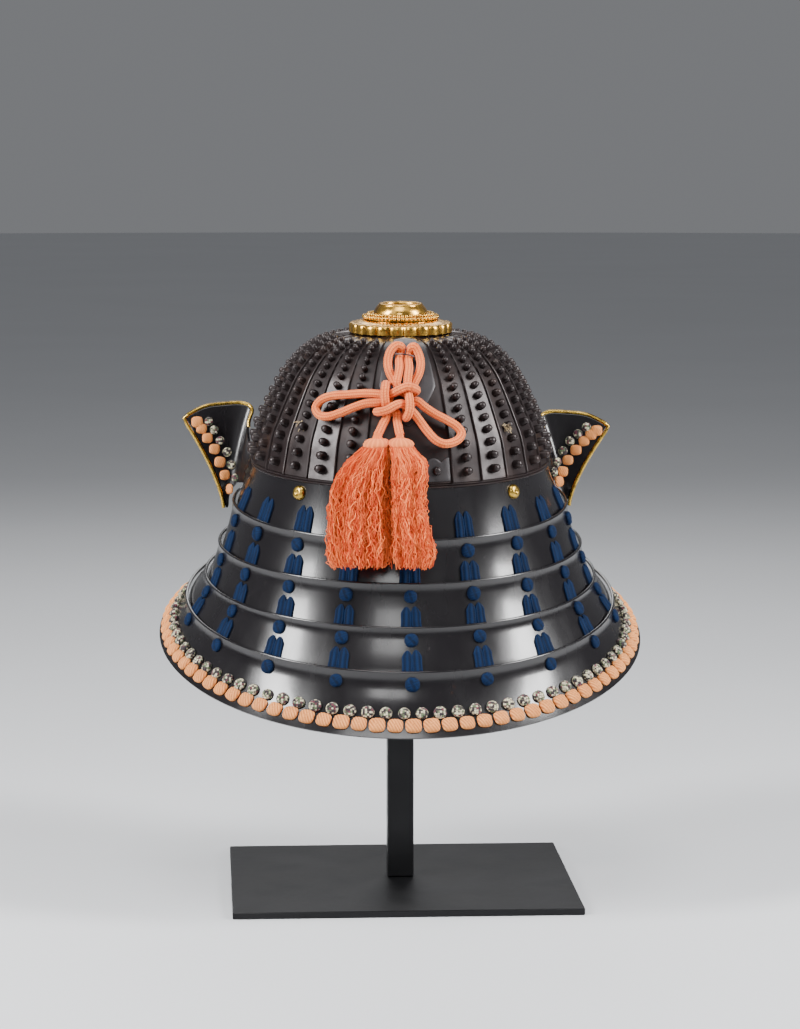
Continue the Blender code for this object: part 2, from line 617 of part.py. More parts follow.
def add_crown():
    """Fluted flange, beaded plate and collar round the opening at the crown."""
    hole = COLLAR_RADIUS - COLLAR_THICKNESS
    top = FLANGE_HEIGHT
    turned("crown_flange", (
        (FLANGE_RADIUS, 0.0), (FLANGE_RADIUS, top), (FLANGE_RADIUS - 2 * FLANGE_WALL, top + FLANGE_WALL / 2),
        (BEAD_PLATE_RADIUS, top + CROWN_DOME / 2), (hole, top + CROWN_DOME),
        (hole, top + CROWN_DOME - FLANGE_WALL), (BEAD_PLATE_RADIUS, top + CROWN_DOME / 2 - FLANGE_WALL),
        (FLANGE_RADIUS - FLUTE_DEPTH - FLANGE_WALL, top - FLANGE_WALL),
        (FLANGE_RADIUS - FLUTE_DEPTH - FLANGE_WALL, 0.0),
    ), 2 * FLANGE_FLUTES, GILT_BRASS, flute_rows=2)
    foot = top + CROWN_DOME + GAP
    turned("crown_bead_plate", (
        (BEAD_PLATE_RADIUS, foot), (BEAD_PLATE_RADIUS - 0.6 * MM, foot + BEAD_PLATE_THICKNESS / 2),
        (BEAD_PLATE_RADIUS - BEAD_PLATE_CHAMFER, foot + BEAD_PLATE_THICKNESS), (hole, foot + BEAD_PLATE_THICKNESS),
        (hole, foot),
    ), 32, GILT_BRASS)
    seat = foot + BEAD_PLATE_THICKNESS + GAP
    middle = COLLAR_RADIUS - COLLAR_THICKNESS / 2
    profile = [(COLLAR_RADIUS - 1 * MM, seat)]
    for turn in (0, 45, 90, 135, 180):
        profile.append((middle + COLLAR_THICKNESS / 2 * math.cos(turn * DEG),
                        seat + COLLAR_HEIGHT * (0.55 + 0.45 * math.sin(turn * DEG))))
    profile.append((hole, seat))
    turned("crown_collar", profile, 28, GILT_BRASS)


def add_bow_mount():
    """Plate under the crown's back edge, and the ring that the bow hangs on."""
    rings = []
    rows = 3
    for k in range(rows):
        share = BOW_PLATE_TOP + (BOW_PLATE_FOOT - BOW_PLATE_TOP) * k / (rows - 1)
        radius = BOWL_HALF_WIDTH * smooth_value(BOWL_PROFILE, share)
        width = BOW_PLATE_WIDTH * (1.0 - 0.25 * k / (rows - 1))
        angles = [width * place / radius for place in (-0.5, -0.25, 0.0, 0.25, 0.5)]
        low = [bowl_point(share, angle, PLATE_LAP + GAP) for angle in angles]
        high = [bowl_point(share, angle, PLATE_LAP + GAP + BOW_PLATE_THICKNESS) for angle in reversed(angles)]
        rings.append(low + high)
    loft("bow_plate", rings, GREY_IRON)
    tube("bow_ring", smooth_route(BOW_RING_ROUTE, BOW_RING_STEPS), BOW_RING_WIRE, GREY_IRON,
         sides_setting=1)


def add_neck_rivet(side):
    """Dome-headed brass rivet on the first lame."""
    angle = side * RIVET_ANGLE
    below = guard_point(GUARD_RINGS[1], angle, -2 * BEAD_RADIUS - LAME_GAP)
    down = (below - guard_point(GUARD_RINGS[0], angle)).normalized()
    seat = guard_point(GUARD_RINGS[0], angle) + down * RIVET_DROP
    across = Vector((math.cos(angle), math.sin(angle), 0))
    outward = down.cross(across)
    if outward.y > 0:
        outward.negate()
    across = outward.cross(down).normalized()
    sides = 12
    profile = ((1.0, 0.0), (0.97, 0.35), (0.72, 0.82), (0.36, 1.0), (0.20, 0.86))
    rings = []
    for reach, height in profile:
        lift = seat + outward * (RIVET_LIFT + RIVET_HEIGHT * height)
        rings.append([lift + (across * math.cos(2 * math.pi * i / sides)
                              + down * math.sin(2 * math.pi * i / sides)) * (RIVET_RADIUS * reach)
                      for i in range(sides)])
    loft(f"neck_rivet_{'right' if side > 0 else 'left'}", rings, GILT_BRASS)


def add_tassel(side, route):
    """Tassel on a cord's end: a head, and a skirt of locks fused to it."""
    hang = bow_point(route[-1])
    along = (hang - bow_point(route[-2])).normalized()
    hang.z -= CORD_RADIUS * math.sqrt(1 - along.z ** 2) + GAP
    rings = []
    for row in TASSEL_ROWS:
        aside, width = (row.left_aside, row.left_width) if side < 0 else (row.right_aside, row.right_width)
        ring = []
        for i in range(TASSEL_SIDES):
            turn = 2 * math.pi * i / TASSEL_SIDES
            lobe = 1 + TASSEL_LOCK_DEPTH * min(row.drop * 3, 1) * (math.cos(TASSEL_LOCKS * turn) - 1)
            ragged = -0.02 * TASSEL_LENGTH * row.drop * math.sin(2 * turn)
            ring.append(hang + Vector((
                TASSEL_HALF_WIDTH * (aside + width * lobe * math.cos(turn)),
                -TASSEL_LEAN * row.drop ** 0.8 + TASSEL_HALF_DEPTH * row.depth * lobe * math.sin(turn),
                -TASSEL_LENGTH * row.drop + ragged)))
        rings.append(ring)
    loft(f"tassel_{'right' if side > 0 else 'left'}", rings, SALMON_SILK)


def add_bow():
    """Two cords tied in the bow, each with its tassel."""
    for side, word, route in ((-1, "left", CORD_LEFT_ROUTE), (1, "right", CORD_RIGHT_ROUTE)):
        tube(f"bow_cord_{word}", smooth_route(route, CORD_STEPS), CORD_RADIUS, SALMON_SILK)
        add_tassel(side, route)


def main():
    """Build every piece."""
    clear_scene()
    add_stand()
    add_bowl()
    add_waist_band()
    add_first_lame()
    for number in range(2, len(GUARD_RINGS)):
        add_lower_lame(number)
    for side in (-1, 1):
        add_wing_rim(side)
        add_neck_rivet(side)
    add_peak()
    add_crown()
    add_bow_mount()
    add_bow()


main()
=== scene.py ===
"""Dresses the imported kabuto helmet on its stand: iron, lacquer, brass, silk, studio and camera.

Frame: metres, +Z up. The photo looks at the helmet's back along +Y. Angles round the helmet are
measured from the middle of the back, positive towards +X. "Left" is the -X side.
"""
from __future__ import annotations

import bisect
import logging
import math
import random
from dataclasses import dataclass, field
from enum import Enum
from typing import Callable, Sequence

import bmesh
import bpy
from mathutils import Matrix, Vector

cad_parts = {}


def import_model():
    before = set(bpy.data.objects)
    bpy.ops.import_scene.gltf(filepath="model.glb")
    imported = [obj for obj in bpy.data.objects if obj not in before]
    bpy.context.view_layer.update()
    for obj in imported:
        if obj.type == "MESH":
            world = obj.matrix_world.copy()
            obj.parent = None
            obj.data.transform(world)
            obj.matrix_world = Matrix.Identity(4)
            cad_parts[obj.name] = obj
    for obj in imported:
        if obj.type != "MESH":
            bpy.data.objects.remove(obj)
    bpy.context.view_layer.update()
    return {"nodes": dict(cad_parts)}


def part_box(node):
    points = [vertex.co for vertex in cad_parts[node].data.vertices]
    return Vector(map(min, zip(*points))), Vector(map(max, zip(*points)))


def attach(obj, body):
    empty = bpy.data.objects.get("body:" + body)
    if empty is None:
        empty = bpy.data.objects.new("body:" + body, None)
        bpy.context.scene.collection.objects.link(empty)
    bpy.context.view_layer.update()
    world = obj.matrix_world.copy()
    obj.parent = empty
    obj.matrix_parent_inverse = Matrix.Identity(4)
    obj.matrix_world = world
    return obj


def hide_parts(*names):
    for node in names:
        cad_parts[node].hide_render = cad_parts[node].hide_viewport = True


MM = 0.001
DEG = math.pi / 180
GAP = 0.3 * MM
LOG = logging.getLogger("helmet")

Colour = tuple[float, float, float]
Point = tuple[float, float, float]
Ring = list[Vector]


class Slot(Enum):
    """The record's material slots."""

    IRON = "russet_iron"
    LACQUER = "black_lacquer"
    BRASS = "gilt_brass"
    GREY = "grey_iron"
    SILK = "salmon_silk"


class Side(Enum):
    """The two sides of the helmet, as signs of X."""

    LEFT = -1
    RIGHT = 1

    @property
    def word(self) -> str:
        """The side's word in the names of nodes and pieces."""
        return self.name.lower()


class Paint:
    """One procedural material, built node by node."""

    def __init__(self, name: str, **constants: float | Colour) -> None:
        """Start a material and set constants on its shader.

        Args:
            name: The material's name.
            constants: Shader sockets by name, with underscores for spaces.
        """
        self.material = bpy.data.materials.new(name)
        self.material.use_nodes = True
        self.tree = self.material.node_tree
        self.shader = self.tree.nodes["Principled BSDF"]
        for key, value in constants.items():
            self.feed(self.shader, key.replace("_", " "), value)

    def feed(self, node: bpy.types.Node, key: str | int, value: object) -> None:
        """Link a socket into an input, or set its value."""
        if isinstance(value, bpy.types.NodeSocket):
            self.tree.links.new(value, node.inputs[key])
        elif isinstance(value, tuple) and node.inputs[key].type == "RGBA":
            node.inputs[key].default_value = (*value, 1.0)
        else:
            node.inputs[key].default_value = value

    def add(self, kind: str, output: str | int, settings: dict | None = None,
            **inputs: object) -> bpy.types.NodeSocket:
        """Add a node.

        Args:
            kind: The node's type.
            output: The output to return.
            settings: Properties of the node.
            inputs: Sockets or values of its inputs, by name.

        Returns:
            The named output socket.
        """
        node = self.tree.nodes.new(kind)
        for key, value in (settings or {}).items():
            setattr(node, key, value)
        for key, value in inputs.items():
            self.feed(node, key, value)
        return node.outputs[output]

    def place(self, scale: Point = (1.0, 1.0, 1.0)) -> bpy.types.NodeSocket:
        """Coordinates of the piece, scaled along each axis."""
        return self.add("ShaderNodeMapping", 0, Vector=self.add("ShaderNodeTexCoord", "Object"), Scale=scale)

    def noise(self, scale: float, detail: float = 4.0,
              stretch: Point = (1.0, 1.0, 1.0)) -> bpy.types.NodeSocket:
        """Fractal noise on the piece, from 0 to 1."""
        return self.add("ShaderNodeTexNoise", 0, Vector=self.place(stretch), Scale=scale, Detail=detail)

    def value(self, name: str) -> bpy.types.NodeSocket:
        """A number that the mesh carries under a name."""
        return self.add("ShaderNodeAttribute", "Fac", {"attribute_name": name})

    def spread(self, factor: bpy.types.NodeSocket, low: float, high: float, start: float = 0.0,
               end: float = 1.0) -> bpy.types.NodeSocket:
        """Map a factor's range from start to end onto low to high."""
        node = self.tree.nodes.new("ShaderNodeMapRange")
        ends = {"Value": factor, "From Min": start, "From Max": end, "To Min": low, "To Max": high}
        for key, value in ends.items():
            self.feed(node, key, value)
        return node.outputs[0]

    def ramp(self, factor: bpy.types.NodeSocket, *stops: tuple[float, Colour],
             steps: bool = False) -> bpy.types.NodeSocket:
        """Colours along a factor, blended or in steps."""
        node = self.tree.nodes.new("ShaderNodeValToRGB")
        band = node.color_ramp
        band.interpolation = "CONSTANT" if steps else "LINEAR"
        for element, (place, colour) in zip(band.elements, (stops[0], stops[-1])):
            element.position = place
            element.color = (*colour, 1.0)
        for place, colour in stops[1:-1]:
            band.elements.new(place).color = (*colour, 1.0)
        self.feed(node, "Fac", factor)
        return node.outputs["Color"]

    def mix(self, factor: object, first: object, second: object) -> bpy.types.NodeSocket:
        """Blend two colours by a factor."""
        node = self.tree.nodes.new("ShaderNodeMix")
        node.data_type = "RGBA"
        for key, value in ((0, factor), (6, first), (7, second)):
            self.feed(node, key, value)
        return node.outputs[2]

    def bump(self, height: bpy.types.NodeSocket, depth: float, strength: float = 1.0) -> None:
        """Lay a relief over those already on the shader's normal."""
        node = self.tree.nodes.new("ShaderNodeBump")
        for key, value in (("Height", height), ("Distance", depth), ("Strength", strength)):
            self.feed(node, key, value)
        for link in list(self.tree.links):
            if link.to_socket == self.shader.inputs["Normal"]:
                self.tree.links.new(link.from_socket, node.inputs["Normal"])
        self.tree.links.new(node.outputs[0], self.shader.inputs["Normal"])

    def finish(self, colour: object, roughness: object) -> bpy.types.Material:
        """Set colour and roughness, and hand over the material."""
        self.feed(self.shader, "Base Color", colour)
        self.feed(self.shader, "Roughness", roughness)
        return self.material


@dataclass(frozen=True)
class MetalFinish:
    """Metal with patina in patches, fine grain and uneven gloss."""

    name: str
    colour: Colour
    patina: Colour
    metallic: float
    gloss: tuple[float, float]
    patch: float = 40.0
    patina_start: float = 0.5
    grain: float = 900.0
    grain_depth: float = 0.05 * MM
    dent_depth: float = 0.0

    def build(self) -> bpy.types.Material:
        """The finish as a material."""
        paint = Paint(self.name, Metallic=self.metallic)
        patches = paint.noise(self.patch, 6.0)
        shade = paint.ramp(patches, (self.patina_start, self.colour), (self.patina_start + 0.22, self.patina))
        fine = paint.noise(self.grain, 3.0)
        paint.bump(fine, self.grain_depth, 0.6)
        if self.dent_depth:
            paint.bump(paint.noise(90.0, 2.0), self.dent_depth, 0.5)
        low, high = self.gloss
        return paint.finish(shade, paint.spread(paint.noise(self.patch * 2.5, 5.0), low, high, 0.3, 0.7))


@dataclass(frozen=True)
class LacquerFinish:
    """Old lacquer with upright wipe marks, dust specks, hairline scratches and worn brown spots."""

    name: str
    colour: Colour
    worn: Colour
    gloss: tuple[float, float]
    wear_start: float = 0.68

    def build(self) -> bpy.types.Material:
        """The finish as a material."""
        paint = Paint(self.name, Coat_Weight=0.35, Coat_Roughness=0.12)
        wear = paint.noise(26.0, 8.0)
        spots = paint.noise(240.0, 3.0)
        shade = paint.ramp(wear, (self.wear_start, self.colour), (self.wear_start + 0.05, self.worn))
        dust = paint.ramp(spots, (0.70, (0.0, 0.0, 0.0)), (0.78, (1.0, 1.0, 1.0)))
        shade = paint.mix(dust, shade, (0.030, 0.026, 0.026))
        streaks = paint.noise(30.0, 6.0, (1.0, 1.0, 0.08))
        scratches = paint.add("ShaderNodeTexNoise", 0, Vector=paint.place((1.0, 1.0, 0.02)), Scale=420.0,
                              Detail=2.0)
        paint.bump(paint.noise(14.0, 2.0), 0.5 * MM, 0.25)
        paint.bump(scratches, 0.02 * MM, 0.35)
        low, high = self.gloss
        return paint.finish(shade, paint.spread(streaks, low, high, 0.3, 0.72))


@dataclass(frozen=True)
class SilkFinish:
    """Silk whose colour is painted darker where its relief number is low, as shade between its stitches and
    ribs, and which also differs from thread to thread.
    """

    name: str
    light: Colour
    # Colour of the painted shade in the hollows, also used for random darker patches.
    deep: Colour
    relief: str
    sheen: float = 0.35
    fibre: float = 1600.0

    def build(self) -> bpy.types.Material:
        """The finish as a material."""
        paint = Paint(self.name, Sheen_Weight=self.sheen, Sheen_Roughness=0.45, Specular_IOR_Level=0.14)
        # Painted shade: the colour runs from the darker colour where the named number is low to the light
        # colour where it is high.
        shade = paint.ramp(paint.value(self.relief), (0.0, self.deep), (1.0, self.light))
        mottle = paint.spread(paint.noise(120.0, 4.0), 0.0, 0.3, 0.40, 0.75)
        shade = paint.mix(mottle, shade, self.deep)
        fibres = paint.noise(self.fibre, 3.0)
        paint.bump(fibres, 0.12 * MM, 0.7)
        return paint.finish(shade, paint.spread(fibres, 0.62, 0.9))


@dataclass(frozen=True)
class KnottedFinish:
    """Small textile knots in several thread colours, one colour to a stitch, with painted shade darkening each
    stitch towards its edges.
    """

    name: str
    colours: tuple[tuple[float, Colour], ...]
    stitch: float = 1.5 * MM

    def build(self) -> bpy.types.Material:
        """The finish as a material."""
        paint = Paint(self.name, Sheen_Weight=0.2, Specular_IOR_Level=0.2)
        cells = self.tile(paint, "Color")
        hue = paint.add("ShaderNodeSeparateColor", 0, Color=cells)
        shade = paint.ramp(hue, *self.colours, steps=True)
        # Painted shade between the stitches: towards each cell's edge the colour goes to a near black brown.
        gap_shade = paint.spread(self.tile(paint, "Distance"), 1.0, 0.35, 0.25, 0.6)
        shade = paint.mix(gap_shade, (0.05, 0.03, 0.03), shade)
        paint.bump(self.tile(paint, "Distance"), -0.6 * MM, 0.8)
        paint.bump(paint.noise(1500.0, 2.0), 0.1 * MM, 0.6)
        return paint.finish(shade, 0.8)

    def tile(self, paint: Paint, output: str) -> bpy.types.NodeSocket:
        """One output of the stitch cells."""
        return paint.add("ShaderNodeTexVoronoi", output, Vector=paint.place(), Scale=1 / self.stitch,
                         Randomness=0.40)


@dataclass
class Finishes:
    """Every finish of the helmet, as materials."""

    iron: bpy.types.Material = field(init=False)
    overlay: bpy.types.Material = field(init=False)
    lacquer: bpy.types.Material = field(init=False)
    brass: bpy.types.Material = field(init=False)
    aged: bpy.types.Material = field(init=False)
    grey: bpy.types.Material = field(init=False)
    steel: bpy.types.Material = field(init=False)
    cord: bpy.types.Material = field(init=False)
    threads: bpy.types.Material = field(init=False)
    lacing: bpy.types.Material = field(init=False)
    peach: bpy.types.Material = field(init=False)
    mixed: bpy.types.Material = field(init=False)
    straw: bpy.types.Material = field(init=False)

    def __post_init__(self) -> None:
        """Build the materials."""
        self.iron = MetalFinish("russet iron", (0.017, 0.0105, 0.0105), (0.030, 0.016, 0.013), 0.35,
                                (0.30, 0.44), grain_depth=0.06 * MM, dent_depth=0.25 * MM).build()
        self.overlay = MetalFinish("worn iron", (0.040, 0.036, 0.038), (0.016, 0.012, 0.012), 0.5,
                                   (0.38, 0.55), patch=70.0, grain_depth=0.1 * MM).build()
        self.lacquer = LacquerFinish("black lacquer", (0.0055, 0.0045, 0.0055), (0.045, 0.017, 0.008),
                                     (0.16, 0.34)).build()
        self.brass = MetalFinish("gilt brass", (0.68, 0.385, 0.075), (0.27, 0.125, 0.022), 1.0, (0.18, 0.36),
                                 patch=120.0, patina_start=0.52, grain=500.0, grain_depth=0.03 * MM).build()
        self.aged = MetalFinish("old brass", (0.50, 0.32, 0.06), (0.20, 0.12, 0.028), 1.0, (0.20, 0.36),
                                patch=150.0, grain_depth=0.02 * MM).build()
        self.grey = MetalFinish("grey iron", (0.12, 0.115, 0.12), (0.035, 0.03, 0.03), 0.7, (0.35, 0.55),
                                patch=160.0, grain_depth=0.12 * MM).build()
        self.steel = MetalFinish("black steel", (0.009, 0.009, 0.010), (0.016, 0.016, 0.018), 0.6,
                                 (0.34, 0.48), patch=12.0, grain=1400.0, grain_depth=0.03 * MM).build()
        # In each silk below the second colour is painted shade, in the hollows between stitches and ribs and
        # among a tassel's inner threads; for the straw threads it is only a darker tone at random.
        self.cord = SilkFinish("salmon braid", (0.93, 0.27, 0.080), (0.48, 0.065, 0.014), "relief",
                               sheen=0.1).build()
        self.threads = SilkFinish("salmon threads", (0.98, 0.255, 0.066), (0.50, 0.022, 0.004), "tint",
                                  sheen=0.05).build()
        self.lacing = SilkFinish("blue braid", (0.0004, 0.016, 0.064), (0.0001, 0.0016, 0.007), "relief",
                                 sheen=0.02).build()
        self.peach = SilkFinish("peach cloth", (0.88, 0.38, 0.125), (0.38, 0.095, 0.02), "relief",
                                sheen=0.08).build()
        self.mixed = KnottedFinish("mixed threads", (
            (0.0, (0.010, 0.010, 0.014)), (0.34, (0.70, 0.64, 0.42)), (0.64, (0.11, 0.17, 0.08)),
            (0.78, (0.14, 0.02, 0.04)), (0.88, (0.72, 0.67, 0.48)))).build()
        self.straw = SilkFinish("straw threads", (0.55, 0.42, 0.24), (0.16, 0.11, 0.07), "tint").build()


def smooth_value(rows: Sequence[tuple[float, float]], x: float) -> float:
    """Second column of a two-column table at x, on a cubic that never overshoots its rows."""
    xs, ys = zip(*rows)
    steps = [(ys[i + 1] - ys[i]) / (xs[i + 1] - xs[i]) for i in range(len(xs) - 1)]
    slopes = [steps[0]]
    for before, after in zip(steps, steps[1:]):
        slopes.append(2 * before * after / (before + after) if before * after > 0 else 0.0)
    slopes.append(steps[-1])
    i = min(max(bisect.bisect_right(xs, x) - 1, 0), len(xs) - 2)
    width = xs[i + 1] - xs[i]
    t = (x - xs[i]) / width
    start = ys[i] * (1 + 2 * t) * (1 - t) ** 2 + slopes[i] * width * t * (1 - t) ** 2
    end = ys[i + 1] * t * t * (3 - 2 * t) + slopes[i + 1] * width * t * t * (t - 1)
    return start + end


def curve_between(p0: Vector, p1: Vector, p2: Vector, p3: Vector, t: float) -> Vector:
    """Point between p1 and p2 on the smooth curve through four points."""
    return 0.5 * (2 * p1 + (p2 - p0) * t + (2 * p0 - 5 * p1 + 4 * p2 - p3) * t ** 2
                  + (3 * p1 - p0 - 3 * p2 + p3) * t ** 3)


def smooth_route(knots: Ring, count: int, parts: int = 12) -> Ring:
    """Evenly spaced points on a smooth curve through knots.

    Args:
        knots: Points that the curve goes through.
        count: How many points to return.
        parts: Steps between two knots when the curve's length is measured.

    Returns:
        The points, the first and last knot included.
    """
    knots = [2 * knots[0] - knots[1]] + list(knots) + [2 * knots[-1] - knots[-2]]
    fine = [curve_between(*four, k / parts) for four in zip(knots, knots[1:], knots[2:], knots[3:])
            for k in range(parts)]
    fine.append(knots[-2])
    runs = [0.0]
    for a, b in zip(fine, fine[1:]):
        runs.append(runs[-1] + (b - a).length)
    points = []
    for k in range(count):
        goal = runs[-1] * k / (count - 1)
        i = min(max(bisect.bisect_right(runs, goal) - 1, 0), len(fine) - 2)
        points.append(fine[i].lerp(fine[i + 1], (goal - runs[i]) / (runs[i + 1] - runs[i])))
    return points


def mesh_of(name: str, points: Sequence[Vector], faces: Sequence[tuple[int, ...]], sharp: float = 40.0,
            uvs: Sequence[tuple[float, float]] = (), **values: Sequence[float]) -> bpy.types.Mesh:
    """Mesh with smooth shading and its faces pointing out.

    Args:
        name: The mesh's name.
        points: Its vertices.
        faces: Its faces, as numbers of vertices.
        sharp: Angle in degrees past which an edge stays sharp.
        uvs: A place on the pattern for each vertex.
        values: Numbers for each vertex, kept under their names.

    Returns:
        The mesh.
    """
    mesh = bpy.data.meshes.new(name)
    mesh.from_pydata([tuple(point) for point in points], [], faces)
    built = bmesh.new()
    built.from_mesh(mesh)
    bmesh.ops.recalc_face_normals(built, faces=built.faces)
    built.to_mesh(mesh)
    built.free()
    mesh.shade_smooth()
    mesh.set_sharp_from_angle(angle=sharp * DEG)
    if uvs:
        layer = mesh.uv_layers.new(name="pattern")
        corners = [0] * len(mesh.loops)
        mesh.loops.foreach_get("vertex_index", corners)
        layer.data.foreach_set("uv", [number for corner in corners for number in uvs[corner]])
    for key, numbers in values.items():
        mesh.attributes.new(key, "FLOAT", "POINT").data.foreach_set("value", numbers)
    return mesh


def skin_faces(rings: int, count: int, closed: bool, start: int = 0) -> list[tuple[int, ...]]:
    """Faces of a skin over rings of points, with its ends capped unless it is closed."""
    faces = []
    for r in range(rings if closed else rings - 1):
        a, b = start + r * count, start + (r + 1) % rings * count
        faces += [(a + i, a + (i + 1) % count, b + (i + 1) % count, b + i) for i in range(count)]
    if not closed:
        last = start + (rings - 1) * count
        faces += [tuple(range(start + count - 1, start - 1, -1)), tuple(range(last, last + count))]
    return faces


def skin(name: str, rings: Sequence[Ring], closed: bool = False, sharp: float = 40.0,
         **values: Sequence[float]) -> bpy.types.Mesh:
    """Mesh over rings of points in order."""
    points = [point for ring in rings for point in ring]
    return mesh_of(name, points, skin_faces(len(rings), len(rings[0]), closed), sharp, **values)


def add_piece(mesh: bpy.types.Mesh, finish: bpy.types.Material,
              replaces: Sequence[str] = ()) -> bpy.types.Object:
    """Put a mesh into the scene as a piece of the helmet.

    Args:
        mesh: The piece's mesh, whose name the piece takes.
        finish: Its material.
        replaces: CAD nodes that it stands for.

    Returns:
        The piece.
    """
    piece = bpy.data.objects.new(mesh.name, mesh)
    bpy.context.scene.collection.objects.link(piece)
    mesh.materials.clear()
    mesh.materials.append(finish)
    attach(piece, "root")
    if replaces:
        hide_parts(*replaces)
    LOG.info("%s: %d faces", mesh.name, len(mesh.polygons))
    return piece


def path_frames(path: Ring) -> list[tuple[Vector, Vector]]:
    """Two directions square to a path at each of its points, turning as little as they can."""
    frames = []
    side = Vector((0.0, 0.0, 1.0))
    for i in range(len(path)):
        along = (path[min(i + 1, len(path) - 1)] - path[max(i - 1, 0)]).normalized()
        side = side - along * side.dot(along)
        if side.length < 1e-4:
            side = along.orthogonal()
        side.normalize()
        frames.append((side.copy(), along.cross(side)))
    return frames


def tube(name: str, path: Ring, radius: float, sides: int = 10) -> bpy.types.Mesh:
    """Round closed tube along a path."""
    turns = [2 * math.pi * k / sides for k in range(sides)]
    rings = [[point + (side * math.cos(turn) + up * math.sin(turn)) * radius for turn in turns]
             for point, (side, up) in zip(path, path_frames(path))]
    return skin(name, rings, sharp=60.0)


class NodeRecipe:
    """A Geometry Nodes tree with named inputs, run on a carrier mesh and turned to a plain mesh."""

    title = "recipe"

    def __init__(self) -> None:
        """Start the tree and build it."""
        self.tree = bpy.data.node_groups.new(self.title, "GeometryNodeTree")
        self.tree.interface.new_socket("Geometry", in_out="INPUT", socket_type="NodeSocketGeometry")
        self.tree.interface.new_socket("Geometry", in_out="OUTPUT", socket_type="NodeSocketGeometry")
        self.keys: dict[str, str] = {}
        self.source = None
        self.build()

    def inputs(self, **kinds: str) -> None:
        for name, kind in kinds.items():
            socket = self.tree.interface.new_socket(name, in_out="INPUT", socket_type=f"NodeSocket{kind}")
            self.keys[name] = socket.identifier
        self.source = self.tree.nodes.new("NodeGroupInput")

    def add(self, kind: str, output: str | int, settings: dict | None = None,
            inputs: dict | None = None) -> bpy.types.NodeSocket:
        """Add a node and return one of its outputs."""
        node = self.tree.nodes.new(kind)
        for key, value in (settings or {}).items():
            setattr(node, key, value)
        for key, value in (inputs or {}).items():
            if isinstance(value, bpy.types.NodeSocket):
                self.tree.links.new(value, node.inputs[key])
            else:
                node.inputs[key].default_value = value
        return node.outputs[output]

    def random(self, low: object, high: object, seed: object, step: int) -> bpy.types.NodeSocket:
        """A random number for each point or instance, between low and high."""
        shifted = self.add("ShaderNodeMath", 0, {"operation": "ADD"}, {0: seed, 1: float(step)})
        return self.add("FunctionNodeRandomValue", 1, {"data_type": "FLOAT"}, {2: low, 3: high, 8: shifted})

    def close(self, geometry: bpy.types.NodeSocket) -> None:
        """End the tree with realized instances and the finish."""
        real = self.add("GeometryNodeRealizeInstances", 0, None, {0: geometry})
        dressed = self.add("GeometryNodeSetMaterial", 0, None,
                           {"Geometry": real, "Material": self.source.outputs["Finish"]})
        output = self.tree.nodes.new("NodeGroupOutput")
        self.tree.links.new(dressed, output.inputs[0])

    def build(self) -> None:
        """Lay the tree's nodes, which each recipe does in its own way."""

    def run(self, name: str, carrier: bpy.types.Mesh, **values: object) -> bpy.types.Mesh:
        """Run the tree on a carrier mesh.

        Args:
            name: Name of the mesh that is made.
            carrier: Mesh of points or edges that the tree works on.
            values: Values of the tree's inputs by name.

        Returns:
            The plain mesh.
        """
        holder = bpy.data.objects.new(name, carrier)
        bpy.context.scene.collection.objects.link(holder)
        modifier = holder.modifiers.new(self.title, "NODES")
        modifier.node_group = self.tree
        for key, value in values.items():
            modifier[self.keys[key]] = value
        bpy.context.view_layer.update()
        graph = bpy.context.evaluated_depsgraph_get()
        made = bpy.data.meshes.new_from_object(holder.evaluated_get(graph), depsgraph=graph)
        holder.modifiers.clear()
        bpy.data.objects.remove(holder)
        made.name = name
        made.shade_smooth()
        made.set_sharp_from_angle(angle=50 * DEG)
        return made


